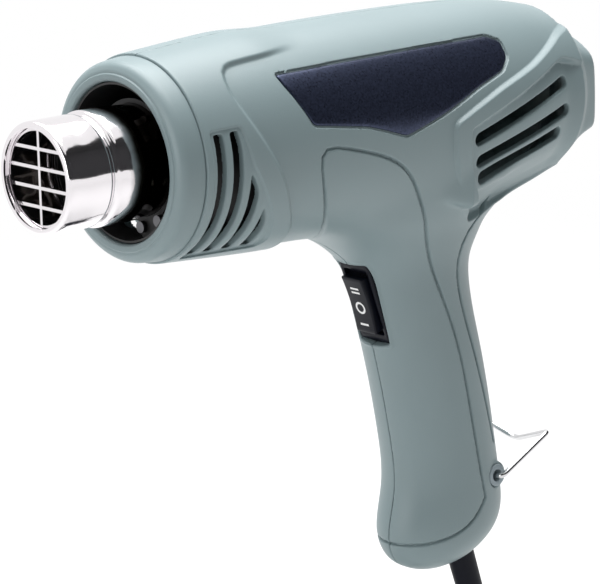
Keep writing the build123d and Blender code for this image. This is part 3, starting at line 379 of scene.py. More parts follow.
def makePlug():
    rim, fall = np.array(plug["face"]).T
    run = np.concatenate((np.linspace(0, rim[0], 90), rim[1:]))
    ribs = ease((run - plug["ribsFrom"]) / 5) * ease((plug["ribsTo"] - run) / 5)
    rib = plug["rib"] * np.cos(2 * math.pi * (run - 20) / plug["ribPitch"]) * ribs
    drop = np.interp(run, rim, fall)
    wide = smoothLine(plug["runs"], plug["wides"])(run) - drop
    tall = smoothLine(plug["runs"], plug["talls"])(run) - drop
    angle = np.linspace(0, 2 * math.pi, 56, endpoint=False)
    c, s = np.cos(angle), np.sin(angle)
    across = wide[:, None] * np.sign(c) * np.abs(c) ** plug["square"]
    up = (tall[:, None] + rib[:, None] * np.abs(s)) * np.sign(s) * np.abs(s) ** plug["square"]
    rings = np.asarray(plug["rear"]) + np.stack([across, -run[:, None] + 0 * across, up], -1)
    addPiece("plug_grip", ringMesh("plug_grip", rings), "gun", ["plug_body"], "rubber")


# Cord: from the boot's tip to the floor, a coil put away to the right, and a run to the plug
cord = {
    "lead": ((25.67, 0, -101.45), (34.14, 0, -128.14), (34.14, 13, -150.65), (34.14, 35.52, -163.65)),
    "centre": (-17.48, 61.51, -163.65), "out": 51.0, "layer": 7.8, "pitch": 7.7, "turns": 6.25,
    "ease": 0.1, "climb": 0.8, "perTurn": 16,
    "end": ((-41.48, 113.09, -155.85), (-65.47, 113.66, -163.65), (-89.26, 114.23, -163.65),
            (-113.87, 90.78, -160.15), (-113.87, 66.98, -160.15)),
}


# The winding goes in on the floor and out on top: at turn t the radius is the inner one plus
# pitch * sqrt((t - middle)^2 + ease^2), and one smooth step at the middle turn climbs a layer
def woundPlaces():
    turn, middle = np.arange(int(cord["turns"] * cord["perTurn"]) + 1) / cord["perTurn"], cord["turns"] / 2
    inner = cord["out"] - cord["pitch"] * math.sqrt(middle ** 2 + cord["ease"] ** 2)
    out = inner + cord["pitch"] * np.sqrt((turn - middle) ** 2 + cord["ease"] ** 2)
    climb = ease((turn - middle) / cord["climb"] + 0.5)
    angle = 2 * math.pi * turn
    return np.stack([out * np.cos(angle), out * np.sin(angle), cord["layer"] * climb], 1) + cord["centre"]


def makeCord():
    route = fromPart(np.vstack([cord["lead"], woundPlaces(), cord["end"]]))
    data = bpy.data.curves.new("mains_cord", "CURVE")
    data.dimensions = "3D"
    line = data.splines.new("NURBS")
    line.points.add(len(route) - 1)
    line.points.foreach_set("co", np.hstack([route, np.ones((len(route), 1))]).ravel())
    line.order_u = 3
    line.use_endpoint_u = True
    line.resolution_u = 8
    data.bevel_depth = 0.0035
    data.bevel_resolution = 5
    data.use_fill_caps = True
    piece = addPiece("mains_cord", data, "gun", ["cord_lead", "cord_coil", "cord_end"], "rubber")


makePlug()
makeCord()
note("cord made")


# Housing skin: a field of place, less than 0 inside, whose zero is the outer surface. Round
# forms are joined by a soft least, and details are added by their side-view distances. Its
# points are shares of the barrel's length along, and of its radius across and up.
shell = {
    "long": 197.0, "radius": 35.8, "gripDrop": 163.4, "gripDeep": 44.6, "gripWide": 37.4,
    "domeFrom": 0.924, "domeSlope": 1.04, "tail": 0.975, "gripSoft": 5.0, "tailSoft": 1.2,
    "sleeveRise": 1.4, "sleeveEdge": 2.4, "fadeAlong": (44, 22), "fadeUp": (22, 5),
    "rimRise": 1.7, "rimEdge": 1.5,
    "ventSink": 0.8, "ventEdge": 0.9, "badgeSink": 0.9, "badgeGap": 0.1, "badgeEdge": 0.35,
    "intakeSink": 3.0, "intakeEdge": 2.6, "intakeInset": 1.2, "intakeEnd": 186.5, "intakeSide": 12,
    "lineDeep": 1.2, "lineWide": 0.42, "slotHalf": 1.9, "intakeSlotHalf": 2.2,
    "wellRadius": 3.4, "wellDepth": 8.0, "split": 0.06, "front": 9.5, "skinDeep": 2.5, "cell": 1.2,
}
barrelLong, barrelRadius = shell["long"], shell["radius"]
barrelPoints = np.array((  # along, radius
    (0.048, 0.905), (0.132, 0.936), (0.228, 0.968), (0.33, 0.983), (0.457, 0.986),
    (0.599, 0.978), (0.716, 0.958), (0.812, 0.913), (0.873, 0.858), (0.924, 0.796)))
barrelAt = smoothLine(barrelPoints[:, 0] * barrelLong, barrelPoints[:, 1] * barrelRadius)
gripPoints = np.array((  # drop, middle along, half depth, half width
    (0.0, 0.58, 2.47, 1.6), (0.15, 0.59, 2.18, 1.55), (0.2, 0.594, 1.96, 1.42),
    (0.235, 0.604, 1.6, 1.28), (0.27, 0.616, 1.32, 1.17), (0.306, 0.624, 1.11, 1.08),
    (0.367, 0.633, 1.0, 1.01), (0.52, 0.663, 0.97, 0.99), (0.7, 0.692, 0.96, 0.99),
    (0.82, 0.702, 1.0, 1.01), (0.885, 0.697, 1.06, 1.02), (0.925, 0.688, 1.0, 0.96),
    (0.957, 0.678, 0.84, 0.81), (0.982, 0.67, 0.6, 0.58), (1.0, 0.665, 0.3, 0.3)))
gripMiddle = smoothLine(gripPoints[:, 0] * shell["gripDrop"], gripPoints[:, 1] * barrelLong)
gripDeep = smoothLine(gripPoints[:, 0] * shell["gripDrop"], gripPoints[:, 2] * shell["gripDeep"] / 2)
gripWide = smoothLine(gripPoints[:, 0] * shell["gripDrop"], gripPoints[:, 3] * shell["gripWide"] / 2)
tailPoints = np.array((  # along, half width, low, top at the side, top in the middle
    (0.548, 0.84, -0.7, -0.17, -0.12), (0.629, 0.975, -0.86, -0.05, 0.01),
    (0.736, 0.88, -0.765, 0.14, 0.35), (0.81, 0.815, -0.64, 0.28, 0.6),
    (0.873, 0.755, -0.555, 0.4, 0.8), (0.964, 0.66, -0.45, 0.335, 0.585),
    (0.988, 0.63, -0.43, 0.31, 0.53), (1.0, 0.57, -0.37, 0.25, 0.45)))


def softMost(a, b, soft):
    return 0.5 * (a + b + np.sqrt((a - b) ** 2 + soft * soft))


def softLeast(a, b, soft):
    return 0.5 * (a + b - np.sqrt((a - b) ** 2 + soft * soft))


# (distance from the axis - radius) / sqrt(1 + slope^2), cut off flat at the tail
def barrelField(x, y, z, rise):
    domeFrom, domeSlope, nudge = shell["domeFrom"] * barrelLong, shell["domeSlope"], 0.25
    radius = barrelAt(x) - np.maximum(x - domeFrom, 0) * domeSlope
    slope = (barrelAt(x + nudge) - barrelAt(x - nudge)) / (2 * nudge) - domeSlope * (x > domeFrom)
    side = (np.sqrt(y * y + z * z) - radius - rise) / np.sqrt(1 + slope ** 2)
    return softMost(side, x - shell["tail"] * barrelLong, 1.5)


# (g - 1) g / |slope| of the ellipse g = sqrt((x / deep)^2 + (y / wide)^2) at each drop
def gripField(x, y, z):
    deep, wide, middle = gripDeep(-z), gripWide(-z), gripMiddle(-z)
    u, v = (x - middle) / deep, y / wide
    g = np.sqrt(u * u + v * v) + 1e-6
    f = (g - 1) * g / np.sqrt((u / deep) ** 2 + (v / wide) ** 2 + 1e-9)
    return softMost(softMost(f, -z - shell["gripDrop"], 1.5), z - 2, 4)


# A block between side planes, a low plane, and a crown that falls as (y / half)^2
def tailField(x, y, z):
    along, *rows = (tailPoints * (barrelLong, *[barrelRadius] * 4)).T
    half, low, side, crown = (np.interp(x, along, row) for row in rows)
    top = side + (crown - side) * (1 - np.minimum(y / half, 1) ** 2)
    f = softMost(np.abs(y) - half, low - z, 3.0)
    f = softMost(f, z - top, 3.0)
    f = softMost(f, x - barrelLong, 1.5)
    return softMost(f, tailPoints[0, 0] * barrelLong - x, 2)


def sideCurve(points, count):
    p = np.asarray(points, float) * (barrelLong, barrelRadius)
    run = np.concatenate(([0], np.cumsum(np.hypot(*np.diff(p, axis=0).T))))
    t = np.linspace(0, run[-1], count)
    return np.stack([smoothLine(run, p[:, 0])(t), smoothLine(run, p[:, 1])(t)], 1)


def sideOutline(points, rounding):
    ring = eased([(a * barrelLong, b * barrelRadius, rounding) for a, b in points], 6)
    return np.vstack([ring, ring[:1]])


sleeveEdge = sideCurve((
    (0.48, 0.93), (0.33, 0.886), (0.236, 0.851), (0.175, 0.828), (0.152, 0.806), (0.14, 0.765),
    (0.134, 0.7), (0.132, 0.61), (0.138, 0.49), (0.151, 0.338), (0.176, 0.087), (0.203, -0.175),
    (0.23, -0.479), (0.262, -0.798), (0.279, -1.117)), 60)
sleeveOutline = np.vstack([((-5, 50), (95, 50)), sleeveEdge, ((-5, -50), (-5, 50))])
ventOutline = sideOutline((
    (0.063, 0.341), (0.125, 0.352), (0.141, 0), (0.168, -0.271), (0.196, -0.531), (0.216, -0.799),
    (0.208, -0.863), (0.063, -0.863)), 1.5)
badgeOutline = sideOutline((
    (0.233, 0.702), (0.238, 0.609), (0.273, 0.222), (0.385, 0.127), (0.424, 0.063), (0.471, -0.025),
    (0.525, 0.056), (0.572, 0.134), (0.647, 0.284), (0.716, 0.39), (0.74, 0.5), (0.742, 0.65),
    (0.715, 0.712), (0.566, 0.718), (0.376, 0.714)), 1.6)
rimOutline = sideOutline((
    (0.575, 0.015), (0.581, -0.279), (0.6, -0.557), (0.64, -0.95), (1.05, -0.95), (1.05, 0.75),
    (0.888, 0.6), (0.784, 0.398), (0.694, 0.262), (0.634, 0.144)), 3.0)
intakeOutline = sideOutline((
    (0.608, -0.05), (0.727, 0.168), (0.865, 0.425), (0.95, 0.3), (0.957, -0.3), (0.94, -0.75),
    (0.66, -1.05), (0.62, -0.386)), 3.0)
ventSlots = (15.6, 22.3, 29.2, 36.4)
intakeSlots = (((0.64, -0.215), (0.88, 0.18)), ((0.652, -0.44), (0.885, -0.085)),
               ((0.66, -0.61), (0.87, -0.3)))
panelLines = (
    sideCurve(((0.385, -1.04), (0.3, -0.4), (0.29, -0.01), (0.35, -0.035), (0.475, -0.335),
               (0.545, -0.86), (0.6, -1.45), (0.652, -2.09), (0.69, -2.93), (0.721, -3.83)), 50),
    sideCurve(((0.721, -3.83), (0.69, -4.02), (0.617, -4.19), (0.552, -4.24)), 14),
    sideCurve(((0.735, -0.87), (0.672, -1.18), (0.693, -2.14), (0.762, -3.33)), 20),
)


# Least distance to a run of straight pieces
def lineDistance(x, z, line):
    best = np.full(np.broadcast(x, z).shape, 1e9)
    for (ax, az), (bx, bz) in zip(line[:-1], line[1:]):
        dx, dz = bx - ax, bz - az
        t = np.clip(((x - ax) * dx + (z - az) * dz) / (dx * dx + dz * dz + 1e-12), 0, 1)
        best = np.minimum(best, (x - ax - t * dx) ** 2 + (z - az - t * dz) ** 2)
    return np.sqrt(best)


# The same with a minus sign inside a ring, where a line to the right crosses it an odd number of times
def outlineDistance(x, z, ring):
    inside = np.zeros(np.broadcast(x, z).shape, bool)
    for (ax, az), (bx, bz) in zip(ring[:-1], ring[1:]):
        if az != bz:
            inside ^= ((az > z) != (bz > z)) & (x < (bx - ax) * (z - az) / (bz - az) + ax)
    return np.where(inside, -1, 1) * lineDistance(x, z, ring)


def slotDistance(x, z):
    vent = outlineDistance(x, z, ventOutline) + 1.5
    best = np.full(vent.shape, 1e9)
    for middle in ventSlots:
        best = np.minimum(best, softMost(np.abs(x - middle) - shell["slotHalf"], vent, 0.8))
    for slot in intakeSlots:
        ends = np.array(slot) * (barrelLong, barrelRadius) + ((1.8, 0.9), (-1.8, -0.9))
        best = np.minimum(best, lineDistance(x, z, ends) - shell["intakeSlotHalf"])
    return best


# Distances are worked out once on a side-view grid, and read back between its points
tableCell = 0.3
tableX, tableZ = np.arange(-1, 203, tableCell), np.arange(-170, 42, tableCell)


def tableOf(distance):
    values = distance(tableX[:, None], tableZ[None, :])

    def read(x, z):
        i, k = (x - tableX[0]) / tableCell, (z - tableZ[0]) / tableCell
        i, k = np.clip(i, 0, len(tableX) - 1.001), np.clip(k, 0, len(tableZ) - 1.001)
        a, c = i.astype(int), k.astype(int)
        u, w = i - a, k - c
        low = values[a, c] * (1 - w) + values[a, c + 1] * w
        return low * (1 - u) + (values[a + 1, c] * (1 - w) + values[a + 1, c + 1] * w) * u
    return read


sleeveAway, ventAway, badgeAway, intakeAway, rimAway = (
    tableOf(lambda x, z, ring=ring: outlineDistance(x, z, ring))
    for ring in (sleeveOutline, ventOutline, badgeOutline, intakeOutline, rimOutline))
slotAway = tableOf(slotDistance)
lineAway = tableOf(lambda x, z: np.minimum.reduce([lineDistance(x, z, line) for line in panelLines]))

switchHole = {"x": 104.28, "z": -63.7, "tilt": math.radians(18.9), "lip": 0.4,
              "seat": (7.4, 15.6, 2.1), "well": (6.45, 14.3, 19.0)}
bailHole = {"x": 149.31, "z": -131.1, "side": 16.5, "eye": 4.9, "seat": 4.2, "bore": 2.6, "deep": 11.0}
cordHole = {"place": (145.77, -157.6), "way": (0.302, -0.953), "radius": 5.75, "deep": 10.0}
screwPlaces = np.array(((0.345, -0.845), (0.345, 0.845), (0.825, 0.56), (0.705, -1.83), (0.66, -2.86),
                        (0.628, -4.16))) * (barrelLong, barrelRadius)


# The outside of both halves before anything is sunk into it. The front sleeve and the intake's
# rim stand proud of the barrel, and the sleeve's step dies out along the top.
def plainSkin(x, y, z):
    (alongFrom, alongOver), (upFrom, upOver) = shell["fadeAlong"], shell["fadeUp"]
    fade = ease((x - alongFrom) / alongOver) * ease((z - upFrom) / upOver)
    step = ease(0.5 - sleeveAway(x, z) / shell["sleeveEdge"]) * (1 - fade)
    rim = ease(0.5 - rimAway(x, z) / shell["rimEdge"]) * ease((np.abs(y) - 8) / 8)
    f = barrelField(x, y, z, shell["sleeveRise"] * step + shell["rimRise"] * rim)
    f = softLeast(f, gripField(x, y, z), shell["gripSoft"])
    return softLeast(f, tailField(x, y, z), shell["tailSoft"])


# The outside with its vent panels and badge seats, without what is cut through it
def outerSkin(x, y, z):
    f = plainSkin(x, y, z)
    f = f + shell["ventSink"] * ease(0.5 - ventAway(x, z) / shell["ventEdge"])
    f = f + shell["badgeSink"] * ease(0.5 - (badgeAway(x, z) - shell["badgeGap"]) / shell["badgeEdge"])
    panel = ease(0.5 - (intakeAway(x, z) + shell["intakeInset"]) / shell["intakeEdge"])
    ends = ease((shell["intakeEnd"] - x) / 13) * ease((np.abs(y) - shell["intakeSide"]) / 8)
    return f + shell["intakeSink"] * panel * ends


# Places along the switch and out of it
def switchAxes(x, z):
    dx, dz = x - switchHole["x"], z - switchHole["z"]
    c, s = math.cos(switchHole["tilt"]), math.sin(switchHole["tilt"])
    return dz * c - dx * s, -dx * c - dz * s


def bailAway(x, z):
    return np.sqrt((x - bailHole["x"]) ** 2 + (z - bailHole["z"]) ** 2)


# One half of the housing, on the left side: the outer skin with its lines and holes cut
def halfField(x, y, z, wells):
    f = outerSkin(x, y, z)
    f = f + shell["lineDeep"] * np.exp(-(lineAway(x, z) / shell["lineWide"]) ** 2)
    eye, out = bailAway(x, z), bailHole["side"]
    f = softLeast(f, softMost(eye - bailHole["eye"], -y - out, 0.5), 0.6)
    f = softMost(f, -softMost(eye - bailHole["seat"], out + y, 0.3), 0.3)
    f = softMost(f, -softMost(eye - bailHole["bore"], bailHole["deep"] + y, 0.2), 0.3)
    f = softMost(f, -slotAway(x, z), 0.5)
    along, out = switchAxes(x, z)
    (seatWide, seatLong, seatDeep), (wellWide, wellLong, wellDeep) = switchHole["seat"], switchHole["well"]
    away = np.maximum(np.abs(y) - seatWide, np.abs(along) - seatLong)
    f = f - switchHole["lip"] * np.exp(-((away - 0.55) / 0.5) ** 2) * (out > -5)
    seat = softMost(softMost(np.abs(y) - seatWide, np.abs(along) - seatLong, 1.0), -seatDeep - out, 0.2)
    well = softMost(softMost(np.abs(y) - wellWide, np.abs(along) - wellLong, 0.6), -wellDeep - out, 0.2)
    f = softMost(f, -softLeast(seat, well, 0.2), 0.35)
    (holeX, holeZ), (wayX, wayZ) = cordHole["place"], cordHole["way"]
    run = (x - holeX) * wayX + (z - holeZ) * wayZ
    off = np.sqrt((x - holeX - run * wayX) ** 2 + y * y + (z - holeZ - run * wayZ) ** 2)
    f = softMost(f, -softMost(off - cordHole["radius"], -cordHole["deep"] - run, 0.3), 0.8)
    for wellX, wellZ in screwPlaces if wells else ():
        off = np.sqrt((x - wellX) ** 2 + (z - wellZ) ** 2)
        f = softMost(f, -softMost(off - shell["wellRadius"], shell["wellDepth"] + y, 0.2), 0.4)
    f = softMost(f, y + shell["split"], 0.25)
    return softMost(f, shell["front"] - x, 0.3)


# Points and quads of a sampled field's zero: each cell that it crosses gets one point, the mean
# of the crossings on the cell's edges, and each crossed grid edge gets a quad of its four cells
def gridSurface(field, low, high, cell):
    axes = [np.arange(a, b + cell, cell) for a, b in zip(low, high)]
    values = field(axes[0][:, None, None], axes[1][None, :, None], axes[2][None, None, :])
    inside = values < 0
    nx, ny, nz = values.shape
    corners = [(i, j, k) for i in (0, 1) for j in (0, 1) for k in (0, 1)]
    count = sum(inside[i:nx - 1 + i, j:ny - 1 + j, k:nz - 1 + k].astype(np.int8) for i, j, k in corners)
    cells = np.argwhere((count > 0) & (count < 8))
    number = np.full((nx - 1, ny - 1, nz - 1), -1, np.int32)
    number[tuple(cells.T)] = np.arange(len(cells))
    total, hits = np.zeros((len(cells), 3)), np.zeros(len(cells))
    for corner in corners:
        for axis in range(3):
            if corner[axis]:
                continue
            far = list(corner)
            far[axis] = 1
            here, there = values[tuple((cells + corner).T)], values[tuple((cells + far).T)]
            crossed = (here < 0) != (there < 0)
            place = np.tile(np.array(corner, float), (len(cells), 1))
            place[:, axis] = np.where(crossed, here / np.where(crossed, here - there, 1), 0)
            total += place * crossed[:, None]
            hits += crossed
    points = (cells + total / hits[:, None]) * cell + np.array(low, float)
    quads = []
    for axis in range(3):
        one, two = [slice(None)] * 3, [slice(None)] * 3
        one[axis], two[axis] = slice(0, -1), slice(1, None)
        first, second = inside[tuple(one)], inside[tuple(two)]
        u, v = (axis + 1) % 3, (axis + 2) % 3
        cut = np.argwhere(first != second)
        lastU, lastV = values.shape[u] - 1, values.shape[v] - 1
        cut = cut[(cut[:, u] > 0) & (cut[:, v] > 0) & (cut[:, u] < lastU) & (cut[:, v] < lastV)]
        flip = first[tuple(cut.T)]
        around = []
        for du, dv in ((1, 1), (0, 1), (0, 0), (1, 0)):
            near = cut.copy()
            near[:, u] -= du
            near[:, v] -= dv
            around.append(number[tuple(near.T)])
        quad = np.stack(around, 1)
        quad[~flip] = quad[~flip][:, ::-1]
        quads.append(quad)
    return points, np.concatenate(quads)


# Value and slope of a field, from four places round each point
def slopeOf(field, p, nudge=0.04):
    total, slope = 0, 0
    for way in ((1, -1, -1), (-1, -1, 1), (-1, 1, -1), (1, 1, 1)):
        way = np.array(way, float)
        value = field(*(p + way * nudge).T)
        total = total + value / 4
        slope = slope + value[:, None] * way / (4 * nudge)
    return total, slope


# Moves points to the field's zero: p - value * slope / |slope|^2, at most 0.4 mm at a time
def settle(field, p, rounds):
    for _ in range(rounds):
        value, slope = slopeOf(field, p)
        step = slope * (value / ((slope ** 2).sum(1) + 1e-9))[:, None]
        size = np.linalg.norm(step, axis=1, keepdims=True)
        p = p - step * np.minimum(1, 0.4 / np.maximum(size, 1e-9))
    return p


def normalsOf(field, points):
    return unit(slopeOf(field, points)[1])


# Splits edges that are longer than sizeAt says at their middles, and settles the new points
def refine(field, points, faces, sizeAt, rounds):
    for _ in range(rounds):
        ends = np.sort(faces[:, ((0, 1), (1, 2), (2, 0))].reshape(-1, 2), axis=1)
        edges, where = np.unique(ends, axis=0, return_inverse=True)
        where = where.reshape(-1, 3)
        middle = points[edges].mean(1)
        long = np.linalg.norm(points[edges[:, 0]] - points[edges[:, 1]], axis=1) > sizeAt(middle)
        number = np.full(len(edges), -1)
        number[long] = len(points) + np.arange(long.sum())
        points = np.vstack([points, settle(field, middle[long], 2)])
        mids = number[where]
        split = (mids >= 0).sum(1)
        out = [faces[split == 0]]
        f, m = faces[split == 3], mids[split == 3]
        out += [np.stack([f[:, i], m[:, i], m[:, i - 1]], 1) for i in range(3)] + [m]
        f, m = faces[split == 1], mids[split == 1]
        turn = (np.argmax(m >= 0, axis=1)[:, None] + np.arange(3)) % 3
        f, m = np.take_along_axis(f, turn, 1), np.take_along_axis(m, turn, 1)
        out += [np.stack([f[:, 0], m[:, 0], f[:, 2]], 1), np.stack([m[:, 0], f[:, 1], f[:, 2]], 1)]
        f, m = faces[split == 2], mids[split == 2]
        turn = (np.argmax(m < 0, axis=1)[:, None] + 1 + np.arange(3)) % 3
        f, m = np.take_along_axis(f, turn, 1), np.take_along_axis(m, turn, 1)
        out += [np.stack([m[:, 0], f[:, 1], m[:, 1]], 1), np.stack([f[:, 0], m[:, 0], m[:, 1]], 1),
                np.stack([f[:, 0], m[:, 1], f[:, 2]], 1)]
        faces = np.concatenate(out)
    return points, faces


# Edge length wanted at a place: short near lines, steps and cuts
def detailSize(p):
    x, y, z = p.T
    along, out = switchAxes(x, z)
    seat = np.maximum(np.abs(y) - switchHole["seat"][0], np.abs(along) - switchHole["seat"][1])
    near = np.minimum.reduce([
        np.abs(seat) - 0.5 + 9 * (out < -4), np.abs(rimAway(x, z)) - 0.7, lineAway(x, z) - 0.5,
        np.abs(slotAway(x, z)) - 0.4, np.abs(badgeAway(x, z)) - 0.3, np.abs(ventAway(x, z)) - 0.6,
        np.abs(sleeveAway(x, z)) - 0.9, np.abs(intakeAway(x, z) + 0.8) - 0.6, np.abs(y) - 0.4,
        np.abs(bailAway(x, z) - 3.8) - 1.4, np.abs(x - shell["front"]) - 0.4])
    return np.clip(0.6 + 0.66 * near, 0.6, 2.3)


# A half's skin and the rims of its holes; what lies deeper than the wall is left away
def halfMesh(wells):
    def field(x, y, z):
        return halfField(x, y, z, wells)

    def keep(points, faces, depth):
        x, y, z = points.T
        kept = outerSkin(x, y, z) > -depth
        for wellX, wellZ in screwPlaces if wells else ():
            near = np.hypot(x - wellX, z - wellZ) < shell["wellRadius"] + 0.8
            kept |= near & (y < 0.5 - shell["wellDepth"])
        faces = faces[kept[faces].all(1)]
        used, faces = np.unique(faces, return_inverse=True)
        return points[used], faces.reshape(-1, 3)

    points, quads = gridSurface(field, (7, -38, -166), (200, 1.6, 40), shell["cell"])
    a, b, c, d = (points[quads[:, i]] for i in range(4))
    across = np.linalg.norm(a - c, axis=1) < np.linalg.norm(b - d, axis=1)
    short, other = quads[across], quads[~across]
    faces = np.concatenate([short[:, (0, 1, 2)], short[:, (0, 2, 3)],
                            other[:, (0, 1, 3)], other[:, (1, 2, 3)]])
    points, faces = keep(points, faces, shell["skinDeep"] + 0.9)
    points, faces = refine(field, settle(field, points, 2), faces, detailSize, 2)
    points, faces = keep(points, faces, shell["skinDeep"])
    points = settle(field, points, 1)
    return points, faces, normalsOf(field, points)


# A left-hand skin as a piece of either side, with its own normals
def addSkin(name, skin, side, nodes, finish):
    points, faces, normals = skin
    if side == "right":
        points, normals, faces = points * (1, -1, 1), normals * (1, -1, 1), faces[:, ::-1]
    data = meshOf(name, fromGun(points), faces)
    data.normals_split_custom_set_from_vertices(normals)
    addPiece(name, data, "gun", nodes, finish)


for side in ("left", "right"):
    addSkin(f"shell_{side}", halfMesh(side == "right"), side, [f"housing_{side}"], "shell")
note("housing skin made")


# Nose: the turned band, and the bright outlet tube with its bead and rolled mouth. Each corner
# of a profile is (run from the nose plane, radius, rounding).
nose = {
    "band": [(0.7, 26.0, 0.3), (0, 26.6, 0.3), (-0.1, 28.4, 0.25), (0.45, 28.75, 0.15), (0.4, 29.6, 0.8),
             (1.2, 31.3, 1.2), (2.8, 32.4, 1.2), (9.35, 33.15, 0.35), (9.35, 31.6, 0), (12.4, 31.6, 0),
             (12.4, 26.0, 0.3)],
    "tube": [(-32.3, 15.9, 0), (-32.3, 17.2, 0.5), (-31.6, 18.0, 0.9), (-30.2, 18.1, 0.9),
             (-15.8, 18.1, 1.2), (-14.6, 17.4, 0.5), (-13.5, 17.4, 0.5), (-12.5, 18.7, 0.8),
             (-1.5, 18.7, 2.0), (1.0, 18.2, 2.0), (57.0, 18.2, 0.4), (57.0, 24.0, 0.2),
             (58.0, 24.0, 0.2), (58.0, 17.4, 0.2), (-12.0, 17.4, 0.4), (-13.6, 16.1, 0.4),
             (-15.0, 16.6, 0.4), (-30.0, 16.6, 0.6), (-31.1, 16.3, 0.5), (-31.4, 15.9, 0.3)],
}
barrelAxis = ((noseX, 0, axisZ), (1, 0, 0))
bandMesh = turned("nose_band", *barrelAxis, nose["band"], 6, 160)
addPiece("nose_band", bandMesh, "gun", ["nose_ring"], "shell")
tubeMesh = turned("outlet_pipe", *barrelAxis, nose["tube"], 6, 128)
addPiece("outlet_pipe", tubeMesh, "gun", ["outlet_tube"], "tube")

# Hanging bail: a bent wire through two bushes
bail = {
    "route": ((15.31, -11.9, -31.1), (15.31, -19.7, -31.1), (38.23, -19.7, -19.47), (41.85, 0, -26.61),
              (38.23, 19.7, -19.47), (15.31, 19.7, -31.1), (15.31, 11.9, -31.1)),
    "bends": (2.2, 2.2, 8.8, 2.2, 2.2), "wire": 1.0, "bushAt": (15.31, 16.5, -31.1),
    "bush": [(-4.6, 1.08, 0), (-3.2, 1.08, 0.1), (-3.1, 1.9, 0.3), (0.9, 2.1, 0.3), (0.9, 3.75, 0.5),
             (0, 4.0, 0.3), (0, 2.5, 0), (-4.6, 2.5, 0)],
}


# A bent wire's line: each corner becomes an arc of its radius, and straight runs are cut short
def bentPath(points, radii, step=0.5, run=2.0):
    points = [np.array(p, float) for p in points]
    out = [points[0]]
    for before, corner, after, radius in zip(points, points[1:], points[2:], radii):
        a, b = unit(before - corner), unit(after - corner)
        half = math.acos(max(-1, min(1, float(np.dot(a, b))))) / 2
        middle = corner + unit(a + b) * radius / math.sin(half)
        first, last = (corner + way * radius / math.tan(half) - middle for way in (a, b))
        turn = math.pi - 2 * half
        t = np.linspace(0, 1, max(4, int(turn * radius / step)))[:, None]
        out.extend(middle + (first * np.sin(turn * (1 - t)) + last * np.sin(turn * t)) / math.sin(turn))
    out.append(points[-1])
    dense = [out[:1]]
    for start, end in zip(out, out[1:]):
        parts = max(1, int(np.linalg.norm(end - start) / run))
        dense.append(start + (end - start) * np.arange(1, parts + 1)[:, None] / parts)
    return np.vstack(dense)


# A round bar along a line: place + radius * (cos a * side + sin a * other), where side stands
# across the line and the radius falls to a rounded end
def swept(name, path, radius, around=24):
    way = np.gradient(path, axis=0)
    t = np.linspace(1.4, 0.3, 4)
    short, small = radius * np.sin(t)[:, None], radius * np.cos(t)
    path = np.vstack([path[0] - unit(way[0]) * short, path, path[-1] + unit(way[-1]) * short[::-1]])
    way = unit(np.vstack([np.tile(way[0], (4, 1)), way, np.tile(way[-1], (4, 1))]))
    radii = np.concatenate([small, np.full(len(path) - 8, radius), small[::-1]])[:, None, None]
    side = unit(np.cross(way, (-0.45, 0, 0.89)))
    angle = np.linspace(0, 2 * math.pi, around, endpoint=False)[None, :, None]
    ring = np.cos(angle) * side[:, None] + np.sin(angle) * np.cross(way, side)[:, None]
    return ringMesh(name, path[:, None] + radii * ring)


wireMesh = swept("bail_wire", bentPath(bail["route"], bail["bends"]), bail["wire"])
addPiece("bail_wire", wireMesh, "bail", ["hanging_bail"], "wire")
for side, sign in (("left", -1), ("right", 1)):
    bushPlace = np.array(bail["bushAt"]) * (1, sign, 1)
    bushMesh = turned(f"bush_{side}", bushPlace, (0, sign, 0), bail["bush"], 5, 64)
    addPiece(f"bush_{side}", bushMesh, "gun", [f"bail_bush_{side}"], "bush")

# Badges: thin plates that follow the barrel, with a rounded edge
badge = {"below": 0.12, "inset": 0.3, "rounding": 0.7, "under": 0.95, "cell": 0.4,
         "low": (44, -37, -4), "high": (150, -20, 29)}


def badgeMesh():
    def field(x, y, z):
        away = plainSkin(x, y, z)
        top = softMost(away + badge["below"], badgeAway(x, z) + badge["inset"], badge["rounding"])
        return softMost(top, -away - badge["under"], 0.1)

    def sizeAt(p):
        return np.clip(0.3 + 0.5 * np.abs(badgeAway(p[:, 0], p[:, 2]) + 0.4), 0.3, 2)

    points, quads = gridSurface(field, badge["low"], badge["high"], badge["cell"])
    faces = np.concatenate([quads[:, (0, 1, 2)], quads[:, (0, 2, 3)]])
    points, faces = refine(field, settle(field, points, 2), faces, sizeAt, 2)
    return points, faces, normalsOf(field, points)


for side in ("left", "right"):
    addSkin(f"badge_plate_{side}", badgeMesh(), side, [f"badge_{side}"], "badge")
note("badges made")

# Rocker switch: its places are (along the switch, out of it, across it)
switch = {
    "origin": (-29.72, 0, 36.3), "up": (-0.324, 0, 0.946), "out": (-0.946, 0, -0.324),
    "frame": ((15.45, 7.25, 1.2, -2.0), (15.45, 7.25, 1.2, -0.7), (15.3, 7.1, 1.1, -0.25),
              (14.95, 6.75, 0.9, 0.0), (12.9, 5.9, 0.9, 0.0), (12.5, 5.6, 0.8, -0.15),
              (12.25, 5.45, 0.7, -0.6), (12.15, 5.35, 0.6, -9.0)),
    "under": ((14.2, 6.4, 0.6, -2.0), (14.2, 6.4, 0.6, -19.0)),
    "halfLong": 10.7, "halfWide": 4.9, "middle": 2.1, "dip": 0.7, "rounding": 0.7,
    "bars": (6.4, 4.8, -7.5), "barSize": (2.0, 0.38), "ringAt": -1.2, "ringRadii": (1.5, 2.3), "ink": 0.03,
}


def switchPoint(v, w, u):
    axes = np.array((switch["up"], switch["out"], (0, -1.0, 0)))
    return np.stack(np.broadcast_arrays(v, w, u), -1) @ axes + switch["origin"]


